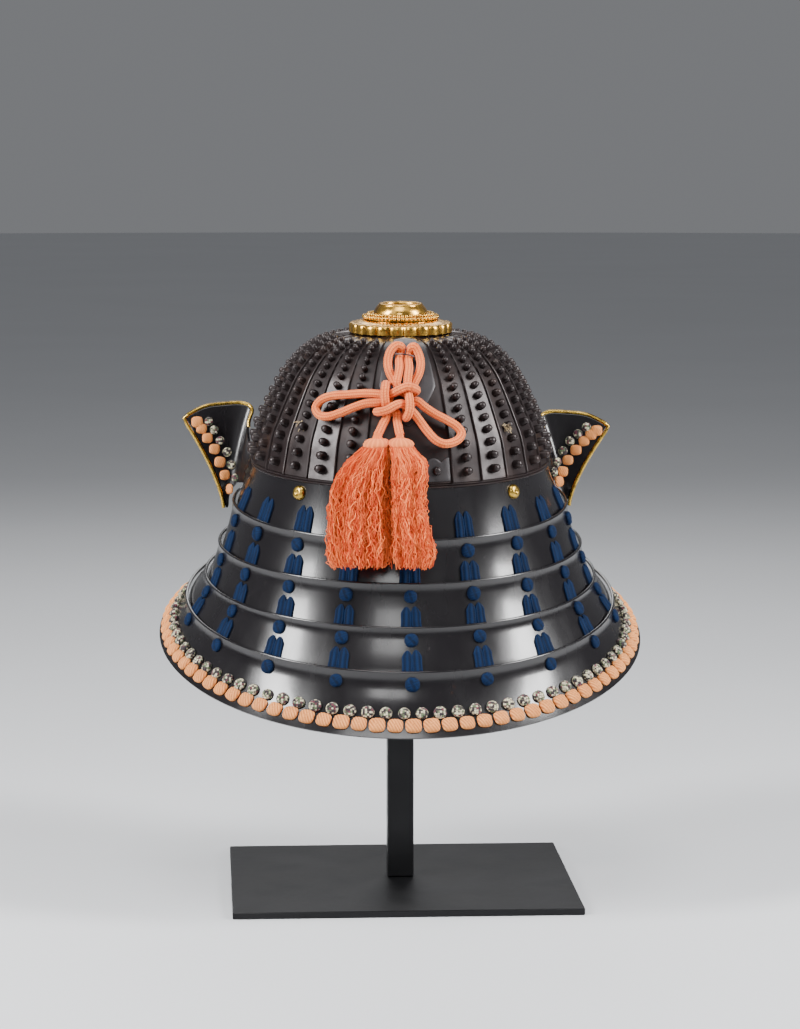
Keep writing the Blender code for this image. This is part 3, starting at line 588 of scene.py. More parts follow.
class StudRecipe(NodeRecipe):
    """Sets one small shape on each point, facing out, with a little spread in size and turn."""

    title = "studs on points"

    def build(self) -> None:
        """Lay the tree's nodes."""
        self.inputs(Shape="Object", Size="Float", SizeSpread="Float", TurnSpread="Float", Seed="Int",
                    Finish="Material")
        out = self.source.outputs
        facing, along, bulk = (
            self.add("GeometryNodeInputNamedAttribute", 0, {"data_type": "FLOAT_VECTOR"}, {"Name": name})
            for name in ("facing", "along", "bulk"))
        upright = self.add("FunctionNodeAlignRotationToVector", 0, {"axis": "Z"}, {"Vector": facing})
        turned = self.add("FunctionNodeAlignRotationToVector", 0, {"axis": "X", "pivot_axis": "Z"},
                          {"Rotation": upright, "Vector": along})
        least = self.add("ShaderNodeMath", 0, {"operation": "MULTIPLY"}, {0: out["TurnSpread"], 1: -1.0})
        angle = self.random(least, out["TurnSpread"], out["Seed"], 1)
        spin = self.add("FunctionNodeEulerToRotation", 0, None,
                        {0: self.add("ShaderNodeCombineXYZ", 0, None, {"Z": angle})})
        turned = self.add("FunctionNodeRotateRotation", 0, {"rotation_space": "LOCAL"},
                          {"Rotation": turned, "Rotate By": spin})
        small = self.add("ShaderNodeMath", 0, {"operation": "SUBTRACT"}, {0: 1.0, 1: out["SizeSpread"]})
        large = self.add("ShaderNodeMath", 0, {"operation": "ADD"}, {0: 1.0, 1: out["SizeSpread"]})
        size = self.add("ShaderNodeMath", 0, {"operation": "MULTIPLY"},
                        {0: self.random(small, large, out["Seed"], 2), 1: out["Size"]})
        scale = self.add("ShaderNodeVectorMath", 0, {"operation": "SCALE"}, {"Vector": bulk, "Scale": size})
        shape = self.add("GeometryNodeObjectInfo", "Geometry", None, {"Object": out["Shape"]})
        points = self.add("GeometryNodeMeshToPoints", 0, None, {"Mesh": out["Geometry"]})
        placed = self.add("GeometryNodeInstanceOnPoints", 0, None,
                          {"Points": points, "Instance": shape, "Rotation": turned, "Scale": scale})
        tinted = self.add("GeometryNodeStoreNamedAttribute", 0, {"data_type": "FLOAT", "domain": "INSTANCE"},
                          {"Geometry": placed, "Name": "tint", "Value": self.random(0.0, 1.0, out["Seed"], 3)})
        self.close(tinted)

    def place(self, name: str, shape: bpy.types.Mesh, spots: Sequence[Spot],
              **values: object) -> bpy.types.Mesh:
        """Set a shape on every spot.

        Args:
            name: Name of the mesh that is made.
            shape: The small shape, one metre across.
            spots: Where the copies go.
            values: Values of the tree's inputs by name.

        Returns:
            The joined mesh.
        """
        carrier = bpy.data.meshes.new(name + "_points")
        carrier.from_pydata([tuple(spot.point) for spot in spots], [], [])
        for key in ("facing", "along", "bulk"):
            numbers = [number for spot in spots for number in getattr(spot, key)]
            carrier.attributes.new(key, "FLOAT_VECTOR", "POINT").data.foreach_set("vector", numbers)
        pattern = bpy.data.objects.new(name + "_shape", shape)
        bpy.context.scene.collection.objects.link(pattern)
        made = self.run(name, carrier, Shape=pattern, **values)
        bpy.data.objects.remove(pattern)
        return made


class StrandRecipe(NodeRecipe):
    """Turns lines into crinkled threads."""

    title = "threads on lines"
    own_noise = 60.0

    def build(self) -> None:
        """Lay the tree's nodes."""
        self.inputs(Radius="Float", Sides="Int", Crinkle="Float", CrinkleSize="Float", Seed="Int",
                    Finish="Material")
        out = self.source.outputs
        loose, own = (self.add("GeometryNodeInputNamedAttribute", 0, {"data_type": "FLOAT"}, {"Name": name})
                      for name in ("loose", "tint"))
        place = self.add("GeometryNodeInputPosition", 0)
        spaced = self.add("ShaderNodeMath", 0, {"operation": "MULTIPLY"}, {0: own, 1: self.own_noise})
        shift = self.add("ShaderNodeMath", 0, {"operation": "ADD"}, {0: spaced, 1: out["Seed"]})
        scale = self.add("ShaderNodeMath", 0, {"operation": "DIVIDE"}, {0: 1.0, 1: out["CrinkleSize"]})
        waves = self.add("ShaderNodeTexNoise", 1, {"noise_dimensions": "4D"},
                         {"Vector": place, "W": shift, "Scale": scale, "Detail": 2.0, "Roughness": 0.62})
        centred = self.add("ShaderNodeVectorMath", 0, {"operation": "SUBTRACT"}, {0: waves, 1: (0.5, 0.5, 0.5)})
        reach = self.add("ShaderNodeMath", 0, {"operation": "MULTIPLY"}, {0: loose, 1: out["Crinkle"]})
        offset = self.add("ShaderNodeVectorMath", 0, {"operation": "SCALE"},
                          {"Vector": centred, "Scale": reach})
        bent = self.add("GeometryNodeSetPosition", 0, None, {"Geometry": out["Geometry"], "Offset": offset})
        lines = self.add("GeometryNodeMeshToCurve", 0, None, {0: bent})
        profile = self.add("GeometryNodeCurvePrimitiveCircle", 0, None,
                           {"Resolution": out["Sides"], "Radius": out["Radius"]})
        threads = self.add("GeometryNodeCurveToMesh", 0, None,
                           {"Curve": lines, "Profile Curve": profile, "Fill Caps": True})
        self.close(threads)

    def spin(self, name: str, lines: Sequence[Ring], tints_and_shades: Sequence[float],
             looseness: Callable[[float], float], **values: object) -> bpy.types.Mesh:
        """Make threads of lines.

        Args:
            name: Name of the mesh that is made.
            lines: Points of each line.
            tints_and_shades: A number for each line, kept with its thread.
            looseness: How free a thread is at a share of its length.
            values: Values of the tree's inputs by name.

        Returns:
            The joined mesh.
        """
        carrier = bpy.data.meshes.new(name + "_lines")
        points, edges, tint, loose = [], [], [], []
        for line, shade in zip(lines, tints_and_shades):
            edges += [(len(points) + k, len(points) + k + 1) for k in range(len(line) - 1)]
            points += [tuple(point) for point in line]
            tint += [shade] * len(line)
            loose += [looseness(k / (len(line) - 1)) for k in range(len(line))]
        carrier.from_pydata(points, edges, [])
        carrier.attributes.new("tint", "FLOAT", "POINT").data.foreach_set("value", tint)
        carrier.attributes.new("loose", "FLOAT", "POINT").data.foreach_set("value", loose)
        return self.run(name, carrier, **values)


@dataclass(frozen=True)
class Spot:
    """A place for a small shape: its point, the way it faces, the way it runs and its size."""

    point: Vector
    facing: Vector
    along: Vector
    bulk: Vector


def dome_shape(name: str, rows: Sequence[tuple[float, float]], sides: int,
               square: float = 2.0, ribs: float = 0.0) -> bpy.types.Mesh:
    """Small domed shape, one metre across and one high, that sits on its base.

    Args:
        name: The mesh's name.
        rows: Reach and height of each ring from the foot, the last one closing the top.
        sides: Points in each ring.
        square: 2 for a round outline, more for a rounded square.
        ribs: Depth of slanting twisted ribs, as a share of the height.

    Returns:
        The mesh, which carries a number called relief that is low in the ribs' valleys, where silk finishes
        turn it into painted shade.
    """
    # The last number sets how far the painted shade darkens the ribs' valleys.
    ridges, slant, valley_shade = 5, 0.55, 0.8
    rings, relief = [], []
    for reach, height in rows:
        ring = []
        for k in range(sides):
            turn = 2 * math.pi * k / sides
            c, s = math.cos(turn), math.sin(turn)
            grow = (abs(c) ** square + abs(s) ** square) ** (-1 / square)
            x, y = 0.5 * reach * grow * c, 0.5 * reach * grow * s
            wave = 0.5 + 0.5 * math.cos(2 * math.pi * ridges * (x + slant * y))
            # Painted shade: the number sinks in the valleys between the ribs.
            relief.append(1 - (1 - wave) * valley_shade)
            ring.append(Vector((x, y, height - ribs * (1 - wave) * (1.0 if height > 0 else 0.0))))
        rings.append(ring)
    return skin(name, rings, sharp=70.0, relief=relief)


@dataclass
class Bowl:
    """The iron bowl: lapped plates with raised flanges, rows of rivets and overlays on the back plate."""

    half_width: float = 112 * MM
    half_depth: float = 119.5 * MM
    height: float = 96 * MM
    wall: float = 2 * MM
    tilt: float = 0.065
    crown_tilt: float = 0.03
    set_back: float = 8 * MM
    base: float = 319 * MM + 0.065 * 1.06 * 112 * MM + 3.5 * MM + GAP  # the ledge's top at mid depth
    lap: float = 1.1 * MM
    flange: float = 2.1 * MM
    seam: tuple = ((-0.62, 0.5), (-0.30, 0.7), (-0.02, 0.0))  # degrees off a plate's edge, mm over the flange
    seam_start: float = 0.85 * DEG
    seam_end: float = 0.10 * DEG
    sag: float = 0.2 * MM
    wide_angle: float = 17 * DEG
    narrow_plates: int = 12
    rivets: int = 15
    rivet_size: float = 7.0 * MM
    rivet_height: float = 0.95
    rivet_taper: float = 0.42
    rivet_seat: float = 0.48
    rivet_foot: float = 7.5 * MM
    rivet_clearance: float = 16 * MM
    crowding: float = 0.32
    rivet_shape: tuple = ((1.0, -0.1), (0.97, 0.30), (0.90, 0.62), (0.78, 0.86), (0.50, 0.98), (0.15, 1.02))
    # degrees round the bowl and share of its height
    plate_rivets: tuple = ((-14.3, 0.088), (-7.6, 0.045), (10.4, 0.088), (5.2, 0.045))
    plate_rivet_size: Point = (6.5 * MM, 6.5 * MM, 3.0 * MM)
    overlay: float = 0.9 * MM
    profile: tuple = (
        (0.00, 1.000), (0.10, 0.981), (0.25, 0.952), (0.40, 0.897), (0.55, 0.836), (0.70, 0.765),
        (0.80, 0.697), (0.88, 0.625), (0.94, 0.535), (0.98, 0.420), (1.00, 0.300),
    )

    def point(self, share: float, angle: float, out: float = 0.0) -> Vector:
        """Point at a share of the bowl's height, moved off its surface by out."""
        spread = smooth_value(self.profile, share)
        step = 0.005
        change = smooth_value(self.profile, share + step) - smooth_value(self.profile, share - step)
        normal = Vector((self.height, -self.half_width * change / (2 * step))).normalized() * out
        x = (self.half_width * spread + normal.x) * math.sin(angle)
        y = -(self.half_depth * spread + normal.x) * math.cos(angle) - self.set_back * share ** 2
        lean = self.tilt + (self.crown_tilt - self.tilt) * share ** 2
        return Vector((x, y, self.base + self.height * share + normal.y + lean * y))

    def normal(self, share: float, angle: float) -> Vector:
        """Direction square to the bowl's surface."""
        return (self.point(share, angle, 1 * MM) - self.point(share, angle)).normalized()

    def columns(self) -> list[tuple[float, float]]:
        """Angle and lift of each column of the outer face, once round."""
        pitch = (math.pi - 2 * self.wide_angle) / self.narrow_plates
        edges = [self.wide_angle + pitch * i for i in range(self.narrow_plates + 1)]
        half = [(self.wide_angle * k / 6, self.lap) for k in range(6)]
        for i, angle in enumerate(edges):
            half.append((angle - self.seam_start, self.lap))
            half += [(angle + turn * DEG, self.flange + over * MM) for turn, over in self.seam]
            half.append((angle + self.seam_end, 0.0))
            if i < self.narrow_plates:
                half += [(angle + pitch * share, self.lap * share ** 1.5 - self.sag * math.sin(math.pi * share))
                         for share in (0.2, 0.35, 0.5, 0.65, 0.8)]
        half[-1] = (edges[-1] + self.seam_end, self.lap / 2)
        half += [(math.pi - self.wide_angle * k / 6, self.lap / 2) for k in range(5, -1, -1)]
        return half + [(-angle, lift) for angle, lift in reversed(half[1:-1])]

    def plates(self, finish: bpy.types.Material) -> bpy.types.Object:
        """The plates, open below and at the crown."""
        rows, inner_rows, last_row = 46, 12, 0.97
        outer = [0.0, 0.004] + [last_row * k / rows for k in range(1, rows + 1)] + [0.985, 1.0]
        inner = [k / inner_rows for k in range(inner_rows, -1, -1)]
        rings = []
        for angle, lift in self.columns():
            ring = [self.point(share, angle, lift * min(1.0, (1.02 - share) * 12)) for share in outer]
            ring += [self.point(share, angle, -self.wall) for share in inner]
            for point in (ring[0], ring[-1]):
                point.z = self.base + self.tilt * point.y
            rings.append(ring)
        return add_piece(skin("bowl_plates", rings, True, 35.0), finish, ["bowl"])

    def rivet_rows(self) -> list[Spot]:
        """Places of the rivets on the narrow plates, closer and smaller towards the crown."""
        pitch = (math.pi - 2 * self.wide_angle) / self.narrow_plates
        steps, crown, measured = 200, 0.985, 0.9
        runs = [(0.0, 0.0)]
        for k in range(1, steps + 1):
            share = crown * k / steps
            step = (self.point(share, measured) - self.point(share - crown / steps, measured)).length
            runs.append((runs[-1][0] + step, share))
        total = runs[-1][0] - self.rivet_clearance
        spots = []
        for side in (-1, 1):
            for plate in range(self.narrow_plates):
                angle = side * (self.wide_angle + pitch * (plate + self.rivet_seat))
                for k in range(self.rivets):
                    t = k / (self.rivets - 1)
                    way = (1 + self.crowding) * t - self.crowding * t * t
                    share = smooth_value(runs, self.rivet_foot + total * way)
                    bulk = self.rivet_size * (1 - self.rivet_taper * t)
                    spots.append(Spot(self.point(share, angle, 0.2 * MM), self.normal(share, angle),
                                      Vector((0, 0, 1)), Vector((bulk, bulk, self.rivet_height * bulk))))
        for degrees, share in self.plate_rivets:
            angle = degrees * DEG
            spots.append(Spot(self.point(share, angle, self.lap + self.overlay), self.normal(0.09, angle),
                              Vector((0, 0, 1)), Vector(self.plate_rivet_size)))
        return spots

    def patch(self, name: str, half_angle: float, low: Callable[[float], float], high: Callable[[float], float],
              thickness: float, finish: bpy.types.Material, slot: Slot, replaces: Sequence[str] = (),
              lift: float = 1.2 * MM) -> bpy.types.Object:
        """Thin plate that lies on the wide back plate.

        Args:
            name: The piece's name.
            half_angle: Half of the angle that it spans.
            low: Share of the bowl's height of its lower edge, from -1 to 1 across it.
            high: The same for its upper edge.
            thickness: Its thickness.
            finish: Its material.
            slot: The record's slot, which is not used.
            replaces: CAD nodes that it stands for.
            lift: How far its underside lies off the bowl.

        Returns:
            The piece.
        """
        across, rows = 40, 16
        points = []
        for layer in (lift, lift + thickness):
            for i in range(across + 1):
                u = -1 + 2 * i / across
                for k in range(rows + 1):
                    share = low(u) + (high(u) - low(u)) * k / rows
                    rim = min(k, rows - k, i, across - i)
                    drop = 0.3 * thickness if rim == 0 and layer > lift else 0.0
                    points.append(self.point(share, u * half_angle, layer - drop))
        count = rows + 1
        size = (across + 1) * count
        faces = []
        for i in range(across):
            for k in range(rows):
                a = i * count + k
                faces.append((a, a + count, a + count + 1, a + 1))
                faces.append((size + a, size + a + 1, size + a + count + 1, size + a + count))
        rim = [k for k in range(rows)] + [i * count + rows for i in range(across)]
        rim += [across * count + k for k in range(rows, 0, -1)] + [i * count for i in range(across, 0, -1)]
        for a, b in zip(rim, rim[1:] + rim[:1]):
            faces.append((a, b, size + b, size + a))
        return add_piece(mesh_of(name, points, faces, 35.0), finish, replaces)

    def build(self, looks: Finishes, studs: StudRecipe) -> None:
        """Build the bowl with its rivets and overlays."""
        self.plates(looks.iron)
        rivet = dome_shape("rivet", self.rivet_shape, 10)
        rivets = studs.place("bowl_rivets", rivet, self.rivet_rows(), Size=1.0, SizeSpread=0.06,
                             TurnSpread=3.0, Seed=7, Finish=looks.iron)
        add_piece(rivets, looks.iron)
        self.patch("back_shield", 13.5 * DEG, lambda u: 0.414 + 0.27 * abs(u) ** 1.25,
                   lambda u: 0.952 - 0.02 * abs(u), self.overlay, looks.overlay, Slot.IRON)
        self.patch("back_cusped_plate", 15.6 * DEG, lambda u: 0.012,
                   lambda u: (0.15 + 0.10 * max(0.0, 1 - 2.4 * abs(u))
                              + 0.035 * abs(math.sin(2.5 * math.pi * u))),
                   self.overlay, looks.overlay, Slot.IRON)
        self.patch("bow_plate_cloud", 9.4 * DEG,
                   lambda u: 0.905 + 0.03 * abs(u) ** 2 - 0.010 * abs(math.sin(3 * math.pi * u)),
                   lambda u: 0.985 - 0.012 * abs(u), 1.3 * MM, looks.grey, Slot.GREY, ["bow_plate"], 2.0 * MM)


@dataclass(frozen=True)
class GuardRing:
    """Shares of the neck guard's drop, of its widening, of its extra rise and of its change of depth."""

    drop: float
    spread: float
    rise: float
    depth: float


@dataclass
class NeckGuard:
    """The five lacquered lames, the ledge above them, the turn-backs and their brass rims."""

    bowl: Bowl
    half_width: float = 183 * MM
    drop: float = 174.3 * MM
    rise: float = 52.1 * MM
    depth_ratio: float = 0.97
    top_height: float = 319 * MM
    top_depth_ratio: float = 1.06
    ledge_reach: float = 1.8 * MM
    ledge_thickness: float = 3.5 * MM
    band_wall: float = 2 * MM
    band_drop: float = 22 * MM
    wall: float = 1.8 * MM
    lame_gap: float = 0.8 * MM
    overlap: float = 4 * MM
    hollow: float = 0.7 * MM
    bead: float = 1.8 * MM
    roll: float = 1.2 * MM
    hem: Point = (0.6 * MM, 2.0 * MM, 2.7 * MM)
    hem_drop: float = 0.8 * MM
    end: float = 118 * DEG
    steps: int = 158
    face_rows: int = 8
    face_start: float = 0.16  # share of a lame's face where it comes out below its bead
    first_columns: int = 16
    wing_angle: float = 105 * DEG
    wing_size: Point = (55 * MM, 20 * MM, 64 * MM)
    wing_droop: float = 8 * MM
    wing_flare: float = 1.45
    rim_radius: float = 1.5 * MM
    rim_clearance: float = 0.3 * MM
    rim_columns: int = 25  # columns of the upper edge that the rim follows
    corner: float = 0.8
    rings: tuple = (
        GuardRing(0.000, 0.000, 0.000, 0.00), GuardRing(0.217, 0.223, 0.207, 0.83),
        GuardRing(0.393, 0.380, 0.200, 1.00), GuardRing(0.570, 0.534, 0.347, 1.00),
        GuardRing(0.746, 0.741, 0.642, 1.00), GuardRing(1.000, 1.000, 1.000, 1.00),
    )
    wing_columns: tuple = (
        (-0.120, 0.00, 0.40, -0.010, 0.00, 0.070), (-0.060, 0.45, 0.74, 0.050, 0.35, 0.080),
        (-0.110, 0.80, 0.93, 0.110, 0.58, 0.060), (-0.010, 0.95, 1.00, 0.185, 0.65, -0.080),
        (0.230, 0.88, 1.00, 0.200, 0.65, -0.200), (0.520, 0.70, 0.97, 0.220, 0.62, -0.235),
        (0.790, 0.50, 0.86, 0.235, 0.60, -0.230),
    )

    def point(self, ring: GuardRing, angle: float, out: float = 0.0, up: float = 0.0) -> Vector:
        """Point on one of the guard's rings, moved outwards and up."""
        top_depth = self.top_depth_ratio * self.bowl.half_width
        top_width = self.bowl.half_width + self.ledge_reach / 2
        half_width = top_width + (self.half_width - top_width) * ring.spread
        top_ratio = top_depth / top_width
        half_depth = half_width * (top_ratio + (self.depth_ratio - top_ratio) * ring.depth)
        top_rise = self.bowl.tilt * top_depth
        rise = top_rise + (self.rise - top_rise) * ring.rise
        height = self.top_height - self.drop * ring.drop + rise * (1 - math.cos(angle)) + up
        return Vector(((half_width + out) * math.sin(angle), -(half_depth + out) * math.cos(angle), height))

    def rows(self, number: int, angle: float) -> Ring:
        """Points of a lame's outer face: top, middle, meeting line and, behind the next lame, its tail."""
        first = number == 1
        outward = Vector((math.sin(angle), -math.cos(angle), 0))
        upper, lower = self.rings[number - 1], self.rings[number]
        back = 0.0 if first else self.wall / 2
        shift = (0.0, -GAP) if first else (-self.bead, -self.bead)
        top = self.point(upper, angle, *shift)
        tuck = -2 * self.bead - self.lame_gap - back
        meet = self.point(lower, angle, tuck)
        middle = top.lerp(meet, 0.5) - outward * self.hollow
        face = outward * back
        if number == 5:
            return [top + face, middle + face, self.point(lower, angle) + face * 2]
        following = self.point(self.rings[number + 1], angle, tuck)
        run = (following - self.point(lower, angle, -self.bead)).normalized()
        return [top + face, middle + face, meet + face, meet + run * self.overlap + face]

    def face(self, number: int, angle: float, share: float, out: float = 0.0) -> tuple[Vector, Vector]:
        """Point of a lame's outer face between its top and the next lame, and the way it faces."""
        top, middle, meet = self.rows(number, angle)[:3]
        control = 2 * middle - (top + meet) / 2
        t = share
        place = top * (1 - t) ** 2 + control * 2 * t * (1 - t) + meet * t * t
        slope = ((control - top) * (1 - t) + (meet - control) * t).normalized()
        across = (self.rows(number, angle + 0.01)[1] - self.rows(number, angle - 0.01)[1]).normalized()
        normal = slope.cross(across).normalized()
        return place + normal * out, normal

    def lower_lame(self, number: int, finish: bpy.types.Material) -> bpy.types.Object:
        """Lame 2 to 5, a C-shaped sheet with a rolled bead along its upper edge."""
        up = Vector((0, 0, 1))
        face_run = 1 - self.face_start
        rings = []
        for i in range(self.steps + 1):
            angle = -self.end + 2 * self.end * i / self.steps
            outward = Vector((math.sin(angle), -math.cos(angle), 0))
            rows = self.rows(number, angle)
            centre = self.point(self.rings[number - 1], angle, -self.roll)
            bead = [centre + (outward * math.cos(turn * DEG) + up * math.sin(turn * DEG)) * self.roll
                    for turn in range(215, -36, -25)]
            outer = [self.face(number, angle, self.face_start + face_run * k / self.face_rows)[0]
                     for k in range(self.face_rows + 1)]
            tail = rows[3:]
            if number == 5:
                edge = rows[2]
                outer[-1] = edge
                tail = [edge - outward * inset - up * self.hem_drop for inset in self.hem[:2]]
                inner_end = [edge - outward * self.hem[2]]
            else:
                inner_end = [rows[3] - outward * self.wall, rows[2] - outward * self.wall]
            inner = [rows[1] - outward * self.wall]
            rings.append(bead + outer + tail + inner_end + inner)
        mesh = skin(f"lame_{number}_sheet", rings, sharp=50.0)
        return add_piece(mesh, finish, [f"neck_lame_{number}"])

    def wing_grid(self, side: Side, levels: int) -> list[Ring]:
        """Columns of a turn-back for +X, each from its top to its foot."""
        spread, turn, height = self.wing_size
        root = self.point(self.rings[1], self.wing_angle, -2 * self.bead - self.lame_gap)
        droop = self.wing_droop if side is Side.RIGHT else 0.0
        columns = []
        for top_out, top_on, top_up, foot_out, foot_on, foot_up in self.wing_columns:
            top = root + Vector((spread * top_out, turn * top_on, height * top_up - droop))
            foot = root + Vector((spread * foot_out, turn * foot_on, height * foot_up))
            column = []
            for k in range(levels + 1):
                t = 1 - k / levels
                column.append(Vector((foot.x + (top.x - foot.x) * t ** self.wing_flare,
                                      foot.y + (top.y - foot.y) * t, foot.z + (top.z - foot.z) * t)))
            columns.append(column)
        return columns

    def first_half(self, side: Side, levels: int = 18, parts: int = 5) -> list[Ring]:
        """Columns of the first lame's outer face from the back to one wing's outer edge, for +X."""
        columns = []
        step = 6 * DEG
        for i in range(self.first_columns + 1):
            rows = self.rows(1, (self.wing_angle - step) * i / self.first_columns)
            control = 2 * rows[1] - (rows[0] + rows[2]) / 2
            column = []
            for k in range(levels + 1):
                w = 3 * k / levels
                t = min(w / 2, 1.0)
                point = rows[0] * (1 - t) ** 2 + control * 2 * t * (1 - t) + rows[2] * t * t
                column.append(point if w <= 2 else rows[2].lerp(rows[3], w - 2))
            columns.append(column)
        columns += self.wing_grid(side, levels)
        mirrored = [Vector((-point.x, point.y, point.z)) for point in columns[1]]
        padded = [mirrored] + columns + [[2 * b - a for a, b in zip(columns[-2], columns[-1])]]
        fine = []
        for four in zip(padded, padded[1:], padded[2:], padded[3:]):
            for k in range(parts):
                fine.append([curve_between(*points, k / parts) for points in zip(*four)])
        fine.append(columns[-1])
        return fine

    @staticmethod
    def plan_normals(columns: list[Ring]) -> Ring:
        """Level direction square to a run of columns, pointing away from the head."""
        normals = []
        for i in range(len(columns)):
            before, after = columns[max(i - 1, 0)], columns[min(i + 1, len(columns) - 1)]
            run = after[len(after) // 2] - before[len(before) // 2]
            normals.append(Vector((run.y, -run.x, 0)).normalized())
        return normals

    def first_lame(self, finish: bpy.types.Material) -> bpy.types.Object:
        """First lame, with its front ends turned back into wings."""
        halves = {}
        for side in Side:
            columns = self.first_half(side)
            halves[side] = []
            for column, normal in zip(columns, self.plan_normals(columns)):
                ring = column + [point - normal * self.wall for point in reversed(column)]
                halves[side].append([Vector((side.value * point.x, point.y, point.z)) for point in ring])
        rings = halves[Side.LEFT][:0:-1] + halves[Side.RIGHT]
        return add_piece(skin("lame_1_sheet", rings, sharp=55.0), finish, ["neck_lame_1"])

    def wing_rim(self, side: Side, finish: bpy.types.Material) -> bpy.types.Object:
        """Brass rim along a wing's outer and upper edges."""
        columns = self.first_half(side)
        normals = self.plan_normals(columns)
        fold = len(columns) - self.rim_columns - 2
        edge = [(point, normals[-1]) for point in reversed(columns[-1])]
        corner = len(edge) - 1
        edge += [(column[0], normal) for column, normal in list(zip(columns, normals))[-2:fold:-1]]
        path = []
        for i, (point, normal) in enumerate(edge):
            before, after = edge[max(i - 1, 0)][0], edge[min(i + 1, len(edge) - 1)][0]
            away = (after - before).normalized().cross(normal).normalized()
            reach = (self.rim_radius + self.rim_clearance) * (self.corner if i == corner else 1.0)
            path.append(point - normal * (self.wall / 2) + away * reach)
        path = [Vector((side.value * point.x, point.y, point.z)) for point in path]
        return add_piece(tube(f"wing_{side.word}_rim", path, self.rim_radius), finish,
                         [f"wing_rim_{side.word}"])

    def ledge(self, finish: bpy.types.Material) -> bpy.types.Object:
        """Band round the bowl's lower edge, whose ledge shows as a double line."""
        skirt_out = -self.wall - GAP
        skirt_in = skirt_out - self.band_wall
        out, thick = self.ledge_reach / 2, self.ledge_thickness
        groove, bevel = 0.9 * MM, 0.6 * MM
        section = (
            (skirt_in, -self.band_drop), (skirt_out, -self.band_drop), (skirt_out, 0.0), (out - 0.4 * MM, 0.0),
            (out, 0.5 * MM), (out, 1.3 * MM), (out - groove, 1.75 * MM), (out, 2.2 * MM),
            (out, thick - bevel), (out - bevel, thick), (skirt_in, thick))
        steps = 180
        turns = [2 * math.pi * i / steps for i in range(steps)]
        rings = [[self.point(self.rings[0], turn, aside, up) for aside, up in section] for turn in turns]
        return add_piece(skin("waist_ledge", rings, True, 30.0), finish, ["waist_band"])

    def build(self, looks: Finishes) -> bpy.types.Object:
        """Build the guard.

        Returns:
            The first lame, which carries the wings.
        """
        self.ledge(looks.iron)
        first = self.first_lame(looks.lacquer)
        for number in range(2, 6):
            self.lower_lame(number, looks.lacquer)
        for side in Side:
            self.wing_rim(side, looks.aged)
        return first


@dataclass
class Lacing:
    """Blue silk lacing: pairs of flat braids and the round knots below the ridges."""

    guard: NeckGuard
    angles: tuple = (-78.0, -58.5, -39.0, -19.5, 0.0, 19.5, 39.0, 58.5, 78.0)
    half_width: float = 3.9 * MM
    spacing: float = 4.0 * MM
    thickness: float = 2.3 * MM
    starts: tuple = (0.47, 0.50, 0.49, 0.47)  # share of each lame's face where its braids come out
    end: float = 1.04  # share of the face where they go in under the next ridge
    seat: float = 0.05 * MM
    steps: int = 30
    across: int = 19
    ribs: int = 6
    stitches: int = 9
    knot: float = 10.2 * MM
    knot_height: float = 3.2 * MM
    knot_drop: float = 2.2 * MM
    knot_rows: tuple = ((0.92, 0.0), (1.0, 0.25), (0.95, 0.55), (0.78, 0.82), (0.5, 0.96), (0.2, 1.0))

    def braid(self, level: int, angle: float, side: int,
              chance: random.Random) -> tuple[Ring, list[float]]:
        """Rings of one flat braid, with a number for each point that is low between its ribs and stitches,
        where the braid's finish paints shade.

        Args:
            level: The lame that it lies on.
            angle: The lacing column's angle.
            side: -1 or 1 within the pair.
            chance: Source of small differences.

        Returns:
            The points, ring by ring, and their relief.
        """
        start = self.starts[level - 1] + chance.uniform(-0.012, 0.012)
        radius = self.guard.point(self.guard.rings[level], angle).to_2d().length
        lean = chance.uniform(-0.5, 0.5) * MM
        width = self.half_width * chance.uniform(0.92, 1.06)
        points, relief = [], []
        for i in range(self.steps + 1):
            t = i / self.steps
            share = start + (self.end - start) * t
            tip = min(1.0, (0.05 + t * 3.4)) ** 0.55
            middle = side * self.spacing * (0.80 + 0.20 * min(1.0, t * 3)) + lean * t
            middle *= 1 - 0.10 * math.sin(math.pi * t)
            for k in range(self.across):
                turn = math.pi * k / (self.across - 1) - math.pi / 2
                rib = 0.5 + 0.5 * math.cos(self.ribs * turn)
                phase = t * self.stitches + side * 0.9 * math.sin(turn * 3)
                weave = 0.5 + 0.5 * math.sin(2 * math.pi * phase)
                aside = middle + width * tip * math.sin(turn)
                height = 0.0
                if 0 < k < self.across - 1:
                    height = self.thickness * max(tip, 0.3) * math.cos(turn) ** 0.55
                height *= 0.66 + 0.26 * rib + 0.14 * weave
                place, _ = self.guard.face(level, angle + aside / radius, share, self.seat + height)
                points.append(place)
                # Painted shade: the number is low between the ribs and in the stitches' troughs.
                relief.append(0.04 + 0.56 * rib + 0.40 * weave)
        return points, relief

    def spots(self) -> list[Spot]:
        """Places of the round knots."""
        spots, bulk = [], Vector((self.knot, self.knot, self.knot_height))
        for level in range(2, 6):
            reach = (self.guard.rows(level, 0.0)[0] - self.guard.rows(level, 0.0)[2]).length
            for degrees in self.angles:
                share = (self.knot_drop + 0.5 * self.knot) / reach
                place, normal = self.guard.face(level, degrees * DEG, share)
                spots.append(Spot(place, normal, Vector((0, 0, 1)), bulk))
        return spots

    def build(self, looks: Finishes, studs: StudRecipe) -> None:
        """Build the braids and knots."""
        chance = random.Random(11)
        points, relief, faces = [], [], []
        for level in range(1, 5):
            for degrees in self.angles:
                for side in (-1, 1):
                    part, shade_depths = self.braid(level, degrees * DEG, side, chance)
                    faces += skin_faces(self.steps + 1, self.across, False, len(points))
                    points += part
                    relief += shade_depths
        add_piece(mesh_of("lacing_braids", points, faces, 60.0, relief=relief), looks.lacing)
        knot = dome_shape("knot", self.knot_rows, 36, square=2.3, ribs=0.10)
        knots = studs.place("lacing_knots", knot, self.spots(), Size=1.0, SizeSpread=0.07, TurnSpread=0.35,
                            Seed=3, Finish=looks.lacing)
        add_piece(knots, looks.lacing)


